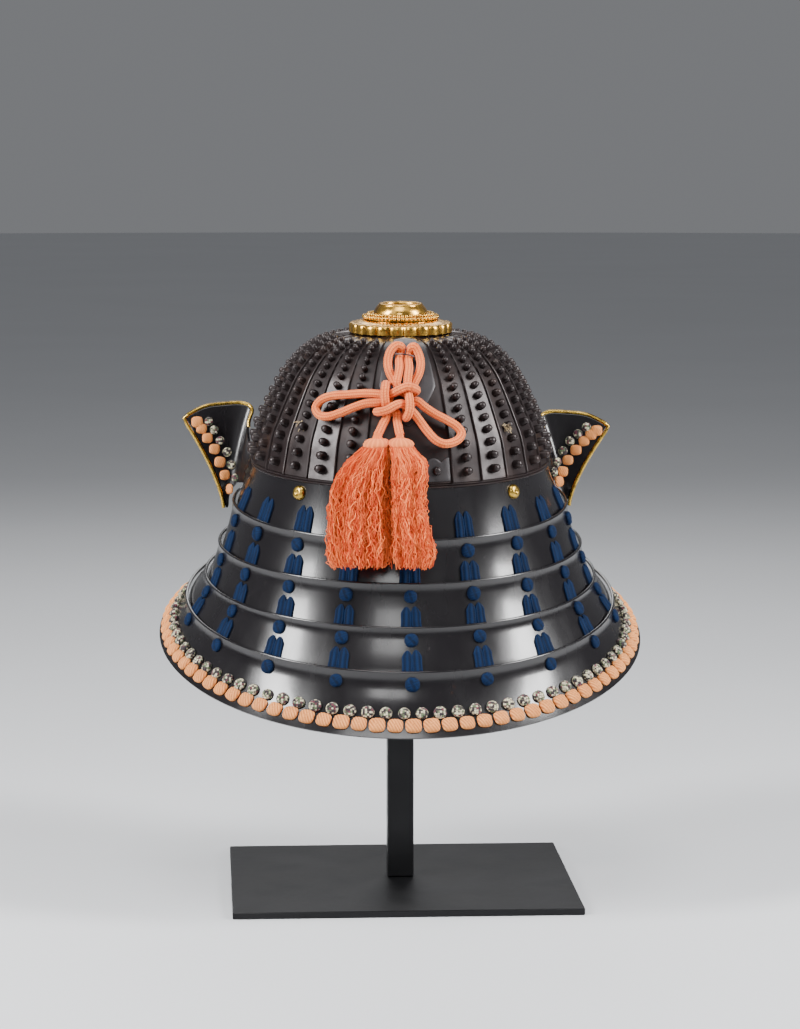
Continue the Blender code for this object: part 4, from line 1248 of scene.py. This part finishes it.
@dataclass(frozen=True)
class PhotoCamera:
    """The camera that sees the helmet as the photo does."""

    location: Point = (-0.1510, -2.6630, 0.5980)
    target: Point = (0.0, 0.0, 0.2863)
    focal: float = 3500.0
    width: int = 800
    height: int = 1029
    sensor: float = 36.0

    def axes(self) -> tuple[Vector, Vector, Vector]:
        """Forward, right and up directions."""
        forward = (Vector(self.target) - Vector(self.location)).normalized()
        right = forward.cross(Vector((0, 0, 1))).normalized()
        return forward, right, right.cross(forward)

    def ray(self, x: float, y: float) -> tuple[Vector, Vector]:
        """Start and direction of the ray through a place in the photo."""
        forward, right, up = self.axes()
        way = forward * self.focal + right * (x - self.width / 2) - up * (y - self.height / 2)
        return Vector(self.location), way.normalized()

    def build(self) -> None:
        """Put the camera into the scene."""
        data = bpy.data.cameras.new("camera")
        data.sensor_fit = "VERTICAL"
        data.sensor_height = self.sensor
        data.lens = self.sensor * self.focal / self.height
        data.clip_end = 60.0
        camera = bpy.data.objects.new("camera", data)
        camera.location = self.location
        camera.rotation_euler = self.axes()[0].to_track_quat("-Z", "Y").to_euler()
        bpy.context.scene.collection.objects.link(camera)
        bpy.context.scene.camera = camera


@dataclass
class Trim:
    """Textile dots: peach and mixed rows along the guard's edge and on the wings."""

    guard: NeckGuard
    camera: PhotoCamera
    peach_pitch: float = 13.2 * MM
    peach_size: Point = (11.6 * MM, 10.8 * MM, 3.4 * MM)
    mixed_size: Point = (9.4 * MM, 9.2 * MM, 3.4 * MM)
    peach_rise: float = 8.6 * MM
    mixed_rise: float = 17.6 * MM
    end: float = 115 * DEG
    wing_scale: float = 0.76
    knot_rows: tuple = (
        (0.90, 0.0), (1.0, 0.22), (0.97, 0.5), (0.85, 0.78), (0.66, 0.93), (0.42, 1.0), (0.16, 1.02),
    )
    wing_peach: tuple = (
        (197, 422), (201.4, 428.5), (207.3, 438), (214.4, 449), (219.8, 462), (224.7, 475), (229.3, 489),
        (596.6, 430.6), (591, 434.5), (584, 441), (576, 450), (568, 460), (562.5, 471.5), (558.7, 481.5),
    )
    wing_mixed: tuple = (
        (208.6, 421.5), (214, 430), (219.8, 440.5), (227, 452), (231, 464.6), (235.5, 478),
        (586.6, 427), (578, 434), (570, 441), (563, 451), (557, 462), (553.5, 472),
    )

    def edge_row(self, rise: float, bulk: Point, shifted: bool) -> list[Spot]:
        """Dots along the guard's lower edge, at a height over it."""
        lame = 5
        share = 1 - rise / (self.guard.rows(lame, 0.0)[0] - self.guard.rows(lame, 0.0)[2]).length
        spots = []
        for side in (-1, 1):
            angle = (self.peach_pitch / 2 if shifted else 0.0) / (0.97 * self.guard.half_width)
            while angle < self.end:
                if angle > 0 or side > 0:
                    here, normal = self.guard.face(lame, side * angle, share)
                    ahead, _ = self.guard.face(lame, side * (angle + 0.01), share)
                    spots.append(Spot(here, normal, side * (ahead - here).normalized(), Vector(bulk)))
                    angle += 0.01 * self.peach_pitch / (ahead - here).length
                else:
                    ahead, _ = self.guard.face(lame, side * 0.01, share)
                    here, _ = self.guard.face(lame, 0.0, share)
                    angle += 0.01 * self.peach_pitch / (ahead - here).length
        return spots

    def wing_row(self, carrier: bpy.types.Object, places: Sequence[tuple[float, float]],
                 bulk: Point) -> list[Spot]:
        """Dots on the wings, found on the first lame from their places in the photo."""
        spots = []
        for x, y in places:
            start, way = self.camera.ray(x, y)
            found, place, normal, _ = carrier.ray_cast(start, way)
            if found:
                along = normal.cross(Vector((0, 0, 1)))
                spots.append(Spot(place, normal, along, Vector(bulk) * self.wing_scale))
            else:
                LOG.warning("no wing under %s, %s", x, y)
        return spots

    def build(self, carrier: bpy.types.Object, looks: Finishes, studs: StudRecipe) -> None:
        """Build both rows."""
        bpy.context.view_layer.update()
        cushion = [(math.cos(8 * k * DEG) ** 0.6, 0.22 + 0.8 * math.sin(8 * k * DEG)) for k in range(12)]
        cloth = dome_shape("cloth", [(0.90, 0.0), *cushion], 36, square=3.0, ribs=0.20)
        knot = dome_shape("knotted", self.knot_rows, 14)
        peach = self.edge_row(self.peach_rise, self.peach_size, False)
        peach += self.wing_row(carrier, self.wing_peach, self.peach_size)
        mixed = self.edge_row(self.mixed_rise, self.mixed_size, True)
        mixed += self.wing_row(carrier, self.wing_mixed, self.mixed_size)
        add_piece(studs.place("trim_peach", cloth, peach, Size=1.0, SizeSpread=0.05, TurnSpread=0.15, Seed=21,
                              Finish=looks.peach), looks.peach)
        add_piece(studs.place("trim_mixed", knot, mixed, Size=1.0, SizeSpread=0.06, TurnSpread=0.5, Seed=22,
                              Finish=looks.mixed), looks.mixed)


@dataclass
class NeckRivets:
    """The two brass dome rivets with a dimple, on the first lame."""

    guard: NeckGuard
    radius: float = 5.6 * MM
    height: float = 3.4 * MM
    angle: float = 43.6 * DEG
    drop: float = 8 * MM
    profile: tuple = (
        (1.0, 0.0), (1.0, 0.12), (0.96, 0.34), (0.86, 0.62), (0.70, 0.84), (0.50, 0.96), (0.34, 1.0),
        (0.26, 0.97), (0.20, 0.84), (0.10, 0.80),
    )  # share of the radius and of the height, from the foot to the dimple
    sides: int = 32

    def build(self, looks: Finishes) -> None:
        """Build both rivets."""
        reach = (self.guard.rows(1, self.angle)[0] - self.guard.rows(1, self.angle)[2]).length
        for side in Side:
            seat, out = self.guard.face(1, side.value * self.angle, self.drop / reach, 0.2 * MM)
            across = out.cross(Vector((0, 0, 1))).normalized()
            down = out.cross(across)
            rings = []
            for share, height in self.profile:
                ring = []
                for k in range(self.sides):
                    turn = 2 * math.pi * k / self.sides
                    arm = across * math.cos(turn) + down * math.sin(turn)
                    ring.append(seat + out * (self.height * height) + arm * (self.radius * share))
                rings.append(ring)
            add_piece(skin(f"brass_rivet_{side.word}", rings, sharp=50.0), looks.aged,
                      [f"neck_rivet_{side.word}"])


@dataclass
class Crown:
    """The gilt ornament round the opening: fluted flange, beaded plate and smooth collar."""

    bowl: Bowl
    radius: float = 39.3 * MM
    height: float = 7.8 * MM
    wall: float = 1.5 * MM
    flutes: int = 22
    flute_depth: float = 1.9 * MM
    plate_radius: float = 30 * MM
    plate_thickness: float = 3.2 * MM
    collar_radius: float = 19.5 * MM
    collar_width: float = 5.5 * MM
    collar_slope: tuple = ((20.4, 0.0), (20.3, 1.2), (19.6, 2.9), (18.5, 4.5), (17.4, 5.8))
    collar_height: float = 7.5 * MM
    collar_lip: float = 1.5 * MM
    dome: float = 2.4 * MM
    sides: int = 96
    flange_rows: tuple = (
        (0.0, 0.0, 1.0), (0.0, 0.45, 1.0), (-0.1, 0.72, 1.0), (0.5, 0.84, 0.9), (1.6, 0.90, 0.7),
        (2.8, 0.90, 0.2), (3.6, 0.88, 0.0), (5.5, 0.99, 0.0),
    )  # mm in from the rim, share of the height, depth of the flutes
    plate_rows: tuple = ((2.0, 0.3), (5.0, 0.65), (8.0, 1.0))  # mm in from the edge, share of the thickness
    plate_sink: float = 0.8 * MM
    bead_rows: tuple = ((27.7, 0.6, 56, 2.8), (24.2, 2.4, 49, 2.7))  # radius, height, count, size in mm
    bead_height: float = 0.85
    bead_sink: float = 0.2

    def __post_init__(self) -> None:
        """Find the ornament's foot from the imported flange."""
        self.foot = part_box("crown_flange")[0].z + self.bowl.crown_tilt * self.radius

    def spot(self, radius: float, height: float, angle: float) -> Vector:
        """Point round the crown's axis, at a height over the ornament's foot."""
        x, y = radius * math.sin(angle), -radius * math.cos(angle)
        return Vector((x, y - self.bowl.set_back, self.foot + height + self.bowl.crown_tilt * y))

    def turned(self, name: str, profile: Sequence[tuple[float, float, float]], sides: int, node: str,
               finish: bpy.types.Material) -> bpy.types.Object:
        """Body turned round the crown's axis, whose rows may be fluted."""
        rings = []
        for radius, height, flute in profile:
            ring = []
            for k in range(sides):
                angle = 2 * math.pi * k / sides
                lobe = abs(math.sin(self.flutes * angle / 2)) ** 0.6
                ring.append(self.spot(radius - self.flute_depth * flute * (1 - lobe), height, angle))
            rings.append(ring)
        return add_piece(skin(name, rings, True, 45.0), finish, [node])

    def beads(self) -> list[Spot]:
        """Places of the beads on the plate's edge, in two rows."""
        foot = self.height + self.dome + GAP
        spots = []
        for radius, height, count, across in self.bead_rows:
            size = across * MM
            bulk = Vector((size, size, size * self.bead_height))
            for k in range(count):
                turn = 2 * math.pi * k / count
                place = self.spot(radius * MM, foot + height * MM, turn)
                out = (place - self.spot(radius * MM * 0.4, foot, turn)).normalized()
                facing = (out + Vector((0, 0, 1))).normalized()
                spots.append(Spot(place - facing * self.bead_sink * size, facing, Vector((0, 0, 1)), bulk))
        return spots

    def build(self, looks: Finishes, studs: StudRecipe) -> None:
        """Build the ornament."""
        hole = self.collar_radius - self.collar_width
        top, rim = self.height, self.radius
        inner = rim - self.flute_depth - self.wall
        self.turned("flange_fluted", (
            *((rim - inset * MM, share * top, flute) for inset, share, flute in self.flange_rows),
            (self.plate_radius, top + self.dome / 2, 0.0), (hole, top + self.dome, 0.0),
            (hole, top + self.dome - self.wall, 0.0), (self.plate_radius, top + self.dome / 2 - self.wall, 0.0),
            (inner, top - self.wall, 0.0), (inner, 0.0, 0.0)), self.flutes * 12, "crown_flange", looks.brass)
        foot = top + self.dome + GAP
        thick = self.plate_thickness
        self.turned("beaded_plate", (
            (self.plate_radius - self.plate_rows[0][0] * MM, foot - self.plate_sink, 0.0),
            *((self.plate_radius - inset * MM, foot + share * thick, 0.0) for inset, share in self.plate_rows),
            (hole, foot + thick, 0.0), (hole, foot, 0.0)), self.sides, "crown_bead_plate", looks.brass)
        bead = dome_shape("bead", ((0.8, 0.0), (1.0, 0.4), (0.85, 0.75), (0.5, 0.95), (0.15, 1.0)), 8)
        beads = studs.place("plate_beads", bead, self.beads(), Size=1.0, SizeSpread=0.05, TurnSpread=3.0,
                            Seed=5, Finish=looks.brass)
        add_piece(beads, looks.brass)
        seat = foot + thick + GAP
        lip = self.collar_lip
        ring = [(radius * MM, seat + height * MM, 0.0) for radius, height in self.collar_slope]
        for turn in range(-10, 191, 20):
            ring.append((hole + lip + lip * math.cos(turn * DEG),
                         seat + self.collar_height - lip * (1 - math.sin(turn * DEG)), 0.0))
        ring.append((hole, seat, 0.0))
        self.turned("collar_ring", ring, self.sides, "crown_collar", looks.brass)


@dataclass
class Peak:
    """The plain peak at the front, with its brass rim."""

    guard: NeckGuard
    half_angle: float = 52 * DEG
    reach: float = 42 * MM
    end_reach: float = 5 * MM
    slope: float = 0.35
    wall: float = 2 * MM
    rim: float = 1.4 * MM
    rim_share: float = 0.76  # share of the half angle that the rim reaches
    rim_clearance: float = 0.3 * MM
    columns: int = 4

    def edge(self, angle: float, out: float, up: float = 0.0) -> Vector:
        """Point of the peak at a distance out from the ledge."""
        guard = self.guard
        return guard.point(guard.rings[0], angle, guard.ledge_reach / 2 + GAP + out, -self.slope * out + up)

    def build(self, looks: Finishes) -> None:
        """Build the peak and its rim."""
        steps = 72
        rings, rim = [], []
        for i in range(steps + 1):
            share = -1 + 2 * i / steps
            angle = math.pi + self.half_angle * share
            reach = self.end_reach + (self.reach - self.end_reach) * math.cos(abs(share) * math.pi / 2) ** 0.7
            section = [(reach * k / self.columns, self.wall * math.sin(math.pi * k / self.columns))
                       for k in range(self.columns + 1)]
            upper = [self.edge(angle, out, arch) for out, arch in section]
            lower = [self.edge(angle, out, arch - self.wall) for out, arch in reversed(section)]
            rings.append(upper + lower)
            if abs(share) < self.rim_share:
                rim.append(self.edge(angle, reach + self.rim + self.rim_clearance, -self.wall / 2))
        add_piece(skin("peak_sheet", rings, sharp=50.0), looks.lacquer, ["peak"])
        add_piece(tube("peak_brass_rim", rim, self.rim), looks.aged, ["peak_rim"])


@dataclass
class Bow:
    """Two braided silk cords tied in a bow, each ending in a tassel of crinkled threads."""

    radius: float = 3.0 * MM
    swell: float = 0.25 * MM
    ring_step: float = 0.62 * MM
    sides: int = 40
    plaits: int = 8
    stitch: float = 1.6 * MM
    relief: float = 0.27 * MM
    tassel_length: float = 92 * MM
    half_width: float = 23 * MM
    half_depth: float = 14 * MM
    lean: float = 21 * MM
    locks: int = 7
    lock_depth: float = 0.13
    threads: int = 720
    thread_points: int = 37
    thread_top: float = 0.07  # share of the length where the threads leave the head
    thread_inner: float = 0.76  # shares of the tassel's radius
    thread_layer: float = 0.26
    thread_outer: float = 1.18
    # Share of the tassel's radius of its dark body, which stands for the shade inside it.
    core: float = 0.80
    core_levels: int = 24
    core_sides: int = 42
    head_sides: int = 48
    head_rows: tuple = (
        (0.0, 0.55), (0.008, 1.0), (0.024, 1.16), (0.046, 1.16), (0.064, 1.02), (0.074, 0.9), (0.085, 0.8),
    )  # share of the length, share of the tassel's radius there
    tassel_rows: tuple = (
        (0.00, 0.00, 0.30, 0.00, 0.24, 0.50), (0.04, -0.02, 0.38, 0.02, 0.37, 0.62),
        (0.09, -0.10, 0.46, 0.07, 0.39, 0.72), (0.20, -0.37, 0.70, 0.28, 0.56, 0.85),
        (0.45, -0.62, 0.94, 0.22, 0.50, 0.96), (0.72, -0.64, 0.98, 0.29, 0.56, 1.00),
        (0.92, -0.64, 0.98, 0.37, 0.64, 0.98), (1.00, -0.60, 0.84, 0.36, 0.52, 0.80),
    )
    routes: dict = field(default_factory=lambda: {
        Side.LEFT: (
            (-9.7, -99.5, 394.8), (-10.8, -97.6, 398.0), (-13.0, -94.9, 402.5), (-14.1, -91.8, 407.9),
            (-13.7, -89.4, 413.3), (-11.5, -87.9, 418.8), (-7.6, -86.9, 422.1), (-3.8, -85.7, 420.8),
            (-4.4, -83.9, 416.5), (-5.6, -88.5, 411.6), (-5.8, -95.1, 405.7), (-7.5, -103.4, 399.9),
            (-8.5, -106.8, 395.0), (-6.4, -105.4, 390.5), (-2.3, -103.1, 388.3), (2.5, -103.4, 387.6),
            (6.0, -108.1, 390.5), (2.1, -115.5, 393.5), (-2.2, -115.2, 393.6), (-7.4, -115.6, 391.6),
            (-12.0, -112.1, 388.7), (-16.6, -109.0, 387.6), (-20.9, -108.1, 387.9), (-31.0, -103.6, 388.1),
            (-43.5, -97.7, 386.8), (-55.3, -91.4, 385.4), (-63.2, -87.8, 381.9), (-67.2, -87.5, 376.3),
            (-64.5, -91.9, 371.2), (-57.9, -97.0, 370.7), (-49.3, -100.9, 373.7), (-39.8, -104.2, 377.9),
            (-31.2, -107.2, 381.0), (-21.0, -109.4, 381.9), (-16.4, -106.0, 381.7), (-13.7, -103.7, 385.2),
            (-15.6, -100.9, 390.2), (-16.4, -105.4, 394.9), (-17.4, -114.0, 392.3), (-17.8, -116.1, 388.2),
            (-17.4, -116.2, 383.5), (-16.4, -113.7, 377.8), (-16.5, -115.1, 371.4), (-19.4, -117.9, 366.1),
            (-22.0, -121.1, 361.3), (-23.4, -122.3, 359.0),
        ),
        Side.RIGHT: (
            (4.2, -100.4, 394.0), (6.1, -98.6, 397.5), (8.7, -95.7, 402.4), (10.0, -91.9, 408.6),
            (9.3, -89.4, 414.0), (7.5, -88.2, 418.7), (5.6, -88.2, 421.2), (3.2, -86.9, 420.3),
            (2.5, -84.6, 416.2), (1.2, -88.7, 411.6), (1.2, -95.3, 405.7), (0.0, -103.7, 399.9),
            (-0.6, -107.2, 395.0), (-1.0, -110.0, 390.0), (0.0, -115.4, 386.9), (0.5, -119.8, 382.1),
            (0.2, -121.6, 377.5), (-0.9, -120.5, 373.6), (-2.3, -116.6, 371.3), (-1.9, -109.0, 374.2),
            (1.8, -107.4, 379.8), (6.0, -111.3, 382.9), (11.5, -112.0, 378.8), (19.5, -111.9, 373.4),
            (27.5, -111.7, 369.2), (35.1, -111.2, 364.4), (38.8, -112.2, 358.9), (35.2, -115.6, 354.1),
            (27.0, -118.7, 352.0), (19.8, -119.3, 354.7), (13.5, -117.7, 361.2), (8.0, -116.4, 368.6),
            (3.7, -115.9, 374.2), (-0.2, -114.6, 378.1), (-4.8, -115.2, 381.2), (-9.6, -119.6, 380.9),
            (-16.0, -120.6, 377.6), (-20.7, -119.5, 376.1), (-23.3, -111.9, 375.3), (-19.6, -106.5, 375.5),
            (-13.4, -108.3, 374.8), (-8.9, -114.1, 374.1), (-8.7, -117.1, 369.2), (-7.9, -122.2, 363.3),
            (-7.1, -125.0, 359.2),
        ),
    })

    def route(self, side: Side) -> Ring:
        """The cord's route in metres."""
        return [Vector(point) * MM for point in self.routes[side]]

    def braid(self, side: Side, finish: bpy.types.Material) -> tuple[bpy.types.Object, Ring]:
        """One cord as a round braid, whose stitches stand out in slanting columns.

        Args:
            side: Which cord.
            finish: Its material.

        Returns:
            The piece and its centreline.
        """
        knots = self.route(side)
        length = sum((b - a).length for a, b in zip(knots, knots[1:]))
        path = smooth_route(knots, int(length / self.ring_step))
        points, shade_depths, uvs = [], [], []
        for i, (point, (first, second)) in enumerate(zip(path, path_frames(path))):
            run = length * i / (len(path) - 1)
            for k in range(self.sides):
                share = k / self.sides
                column = share * self.plaits
                across = column - math.floor(column)
                slant = 1 if int(column) % 2 else -1
                phase = run / self.stitch + slant * 0.55 * (across - 0.5)
                stitch = abs(math.sin(math.pi * phase)) ** 0.6 * math.sin(math.pi * across) ** 0.4
                turn = 2 * math.pi * share
                reach = self.radius + self.swell - self.relief * (1 - stitch)
                points.append(point + (first * math.cos(turn) + second * math.sin(turn)) * reach)
                # Painted shade: the stitch value, low in the grooves between stitches, also darkens the silk
                # there.
                shade_depths.append(stitch)
                uvs.append((share, run))
        faces = skin_faces(len(path), self.sides, False)
        mesh = mesh_of(f"bow_braid_{side.word}", points, faces, 80.0, uvs, relief=shade_depths)
        piece = add_piece(mesh, finish, [f"bow_cord_{side.word}"])
        return piece, path[::6] + [path[-1]]

    def hang(self, side: Side) -> Vector:
        """Where a tassel hangs."""
        knots = self.route(side)
        along = (knots[-1] - knots[-2]).normalized()
        point = knots[-1].copy()
        point.z -= self.radius * math.sqrt(1 - along.z ** 2) + GAP
        return point

    def skirt(self, side: Side, drop: float, turn: float, reach: float) -> Vector:
        """Point of a tassel at a drop, a turn round it and a share of its radius."""
        first = 1 if side is Side.LEFT else 3
        aside = smooth_value([(row[0], row[first]) for row in self.tassel_rows], drop)
        width = smooth_value([(row[0], row[first + 1]) for row in self.tassel_rows], drop)
        depth = smooth_value([(row[0], row[5]) for row in self.tassel_rows], drop)
        lobe = 1 + self.lock_depth * min(drop * 3, 1) * (math.cos(self.locks * turn) - 1)
        return self.hang(side) + Vector((
            self.half_width * (aside + width * lobe * reach * math.cos(turn)),
            -self.lean * drop ** 0.8 + self.half_depth * depth * lobe * reach * math.sin(turn),
            -self.tassel_length * drop))

    def tassel_head(self, side: Side, looks: Finishes) -> bpy.types.Object:
        """The bound head of a tassel, round the end of its cord, with painted shade in stripes round it and at
        its neck.
        """
        turns = [2 * math.pi * k / self.head_sides for k in range(self.head_sides)]
        neck = Vector((0, -1.0 * MM, 4.0 * MM))
        rings = [[self.skirt(side, 0.0, turn, 0.36) + neck for turn in turns]]
        shade_depths = [0.6] * self.head_sides
        for drop, grow in self.head_rows:
            rings.append([self.skirt(side, drop, turn, grow) for turn in turns])
            # Painted shade: two columns in every three get a lower number, darkening the head as if between
            # turns of a binding.
            shade_depths += [0.72 + 0.28 * math.cos(k * math.pi / 1.5) for k in range(self.head_sides)]
        mesh = skin(f"tassel_{side.word}_head", rings, sharp=60.0, relief=shade_depths)
        return add_piece(mesh, looks.cord)

    def tassel_core(self, side: Side, looks: Finishes) -> bpy.types.Object:
        """The dark body under the threads of a tassel, all in the threads' painted shade colour, standing for
        the shade inside the tassel.
        """
        turns = [2 * math.pi * k / self.core_sides for k in range(self.core_sides)]
        drops = [0.05 + 0.90 * i / self.core_levels for i in range(self.core_levels + 1)]
        rings = [[self.skirt(side, drop, turn, self.core) for turn in turns] for drop in drops]
        # Painted shade: a number of 0 gives the whole body the threads' darkest colour.
        tint = [0.0] * len(turns) * len(drops)
        mesh = skin(f"tassel_{side.word}_core", rings, sharp=70.0, tint=tint)
        return add_piece(mesh, looks.threads)

    def thread(self, side: Side, number: int, chance: random.Random) -> tuple[Ring, float]:
        """One thread of a tassel, which may swing round it and stray from it.

        Args:
            side: Which tassel.
            number: The thread's number.
            chance: Source of its differences.

        Returns:
            Its line and a number from 0 for dark to 1 for light: every third thread gets a random light number,
            and on the others the number falls towards the middle of the tassel as painted shade, with a random
            spread.
        """
        turn = chance.uniform(0, 2 * math.pi)
        reach = self.thread_inner + self.thread_layer * chance.random() ** 0.7
        reach += chance.uniform(0.0, 0.13) if number % 6 == 0 else 0.0
        end = 1.0 - 0.15 * chance.random() ** 2
        swing = chance.gauss(0, 0.55 if number % 4 == 0 else 0.28)
        tilt = chance.gauss(0.03, 0.06)
        stray = chance.gauss(0, 0.16)
        waves, start = chance.uniform(0.7, 2.4), chance.uniform(0, 2 * math.pi)
        line = []
        for k in range(self.thread_points):
            share = k / (self.thread_points - 1)
            wander = stray * (math.sin(2 * math.pi * waves * share + start) - math.sin(start))
            drop = self.thread_top + (end - self.thread_top) * share
            out = min(reach + (tilt + 0.3 * wander) * share, self.thread_outer)
            line.append(self.skirt(side, min(drop, 1.0), turn + swing * share + wander, out))
        if number % 3 == 0:
            return line, chance.uniform(0.72, 1.0)
        # Painted shade: threads nearer the middle of the tassel get a darker number.
        depth = (reach - self.thread_inner) / self.thread_layer
        return line, min(1.0, max(0.0, depth * 0.45 + chance.uniform(-0.15, 0.25)))

    def tassel(self, side: Side, looks: Finishes, strands: StrandRecipe) -> list[bpy.types.Object]:
        """Head, dark shade body and threads of one tassel."""
        head = self.tassel_head(side, looks)
        core = self.tassel_core(side, looks)
        chance = random.Random(31 if side is Side.LEFT else 32)
        made = [self.thread(side, number, chance) for number in range(self.threads)]
        lines, tints_and_shades = [line for line, _ in made], [tint for _, tint in made]
        mesh = strands.spin(f"tassel_{side.word}_threads", lines, tints_and_shades,
                            lambda share: min(1.0, 0.32 + share * 2.2), Radius=0.33 * MM, Sides=3,
                            Crinkle=13.0 * MM, CrinkleSize=6.5 * MM, Seed=2, Finish=looks.threads)
        threads = add_piece(mesh, looks.threads, [f"tassel_{side.word}"])
        return [head, core, threads]

    def build(self, looks: Finishes, strands: StrandRecipe) -> None:
        """Build both cords with their tassels."""
        for side in Side:
            cord, path = self.braid(side, looks.cord)
            ends = self.tassel(side, looks, strands)


@dataclass
class LooseThreads:
    """Short ends of old thread that are left at two rivets of the bowl."""

    bowl: Bowl
    places: tuple = ((0.374, -48.7 * DEG), (0.3586, 45.6 * DEG))
    count: int = 44
    lift: float = 2.2 * MM
    steps: tuple = (0, 0.2, 0.4, 0.6, 0.8, 1.0)

    def build(self, looks: Finishes, strands: StrandRecipe) -> None:
        """Build both tufts in one mesh."""
        chance = random.Random(41)
        lines, tints_and_shades = [], []
        for share, angle in self.places:
            seat, out = self.bowl.point(share, angle, self.lift), self.bowl.normal(share, angle)
            for _ in range(self.count):
                start = seat + Vector([chance.gauss(0, 1.1) * MM for _ in range(3)])
                way = (out * 0.7 + Vector([chance.gauss(0, 0.8) for _ in range(3)])).normalized()
                bend = Vector((chance.gauss(0, 0.5), 0, -0.8))
                reach = chance.uniform(1.6, 3.8) * MM
                lines.append([start + (way * t + bend * t * t * 0.6) * reach for t in self.steps])
                tints_and_shades.append(chance.random())
        mesh = strands.spin("loose_threads", lines, tints_and_shades, lambda share: share, Radius=0.28 * MM, Sides=4,
                            Crinkle=2.0 * MM, CrinkleSize=3.0 * MM, Seed=4, Finish=looks.straw)
        add_piece(mesh, looks.straw)


@dataclass(frozen=True)
class SoftBox:
    """A soft studio light that looks at the helmet."""

    name: str
    azimuth: float
    elevation: float
    distance: float
    width: float
    height: float
    power: float

    def build(self, target: Vector) -> None:
        """Put the light into the scene."""
        data = bpy.data.lights.new(self.name, "AREA")
        data.shape = "RECTANGLE"
        data.size, data.size_y, data.energy = self.width, self.height, self.power
        lamp = bpy.data.objects.new(self.name, data)
        turn, tilt = self.azimuth * DEG, self.elevation * DEG
        back = Vector((math.sin(turn) * math.cos(tilt), -math.cos(turn) * math.cos(tilt), math.sin(tilt)))
        lamp.location = target + back * self.distance
        lamp.rotation_euler = (-back).to_track_quat("-Z", "Y").to_euler()
        bpy.context.scene.collection.objects.link(lamp)


@dataclass
class Studio:
    """Plain pale floor and soft light."""

    lights: tuple = (
        SoftBox("left soft box", -64.0, 30.0, 1.7, 0.42, 1.0, 54.0),
        SoftBox("right soft box", 66.0, 30.0, 1.7, 0.42, 1.0, 54.0),
        SoftBox("top soft box", -10.0, 68.0, 1.8, 0.7, 0.7, 12.0),
        SoftBox("front soft box", -8.0, 24.0, 2.9, 0.8, 0.6, 12.0),
        SoftBox("far soft box", 180.0, 38.0, 2.2, 1.2, 0.8, 14.0),
    )
    target: Point = (0.0, 0.0, 0.28)
    floor_radius: float = 14.0
    floor_drop: float = 0.2 * MM
    floor_sides: int = 96
    pale: Colour = (0.70, 0.71, 0.73)
    sky: Colour = (0.78, 0.80, 0.84)
    sky_strength: float = 0.24

    def build(self) -> None:
        """Put floor, world and lights into the scene."""
        turns = [2 * math.pi * k / self.floor_sides for k in range(self.floor_sides)]
        ring = [(self.floor_radius * math.cos(turn), self.floor_radius * math.sin(turn), -self.floor_drop)
                for turn in turns]
        mesh = bpy.data.meshes.new("floor")
        mesh.from_pydata(ring, [], [tuple(range(self.floor_sides))])
        floor = bpy.data.objects.new("floor", mesh)
        bpy.context.scene.collection.objects.link(floor)
        paint = Paint("pale floor")
        shade = paint.ramp(paint.noise(2.0, 3.0), (0.3, self.pale), (0.7, tuple(c * 0.97 for c in self.pale)))
        mesh.materials.append(paint.finish(shade, 0.6))
        world = bpy.data.worlds.new("studio")
        world.use_nodes = True
        background = world.node_tree.nodes["Background"]
        background.inputs["Color"].default_value = (*self.sky, 1.0)
        background.inputs["Strength"].default_value = self.sky_strength
        bpy.context.scene.world = world
        for light in self.lights:
            light.build(Vector(self.target))


def dress_nodes(frame: dict, looks: Finishes) -> None:
    """Give the CAD nodes that stay in view their finishes."""
    finishes = {"stand_plate": looks.steel, "stand_post": looks.steel, "stand_head": looks.steel,
                "bow_ring": looks.grey}
    for name, finish in finishes.items():
        node = frame["nodes"][name]
        for slot in node.material_slots:
            slot.material = finish
        LOG.info("%s: dressed", name)


def main() -> None:
    """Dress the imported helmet, piece by piece."""
    logging.basicConfig(level=logging.INFO, format="%(name)s: %(message)s")
    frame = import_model()
    camera = PhotoCamera()
    camera.build()
    looks, studs, strands = Finishes(), StudRecipe(), StrandRecipe()
    Bow().build(looks, strands)
    bowl = Bowl()
    bowl.build(looks, studs)
    guard = NeckGuard(bowl)
    first = guard.build(looks)
    Lacing(guard).build(looks, studs)
    Trim(guard, camera).build(first, looks, studs)
    NeckRivets(guard).build(looks)
    Crown(bowl).build(looks, studs)
    Peak(guard).build(looks)
    LooseThreads(bowl).build(looks, strands)
    dress_nodes(frame, looks)
    Studio().build()


if __name__ == "__main__":
    main()
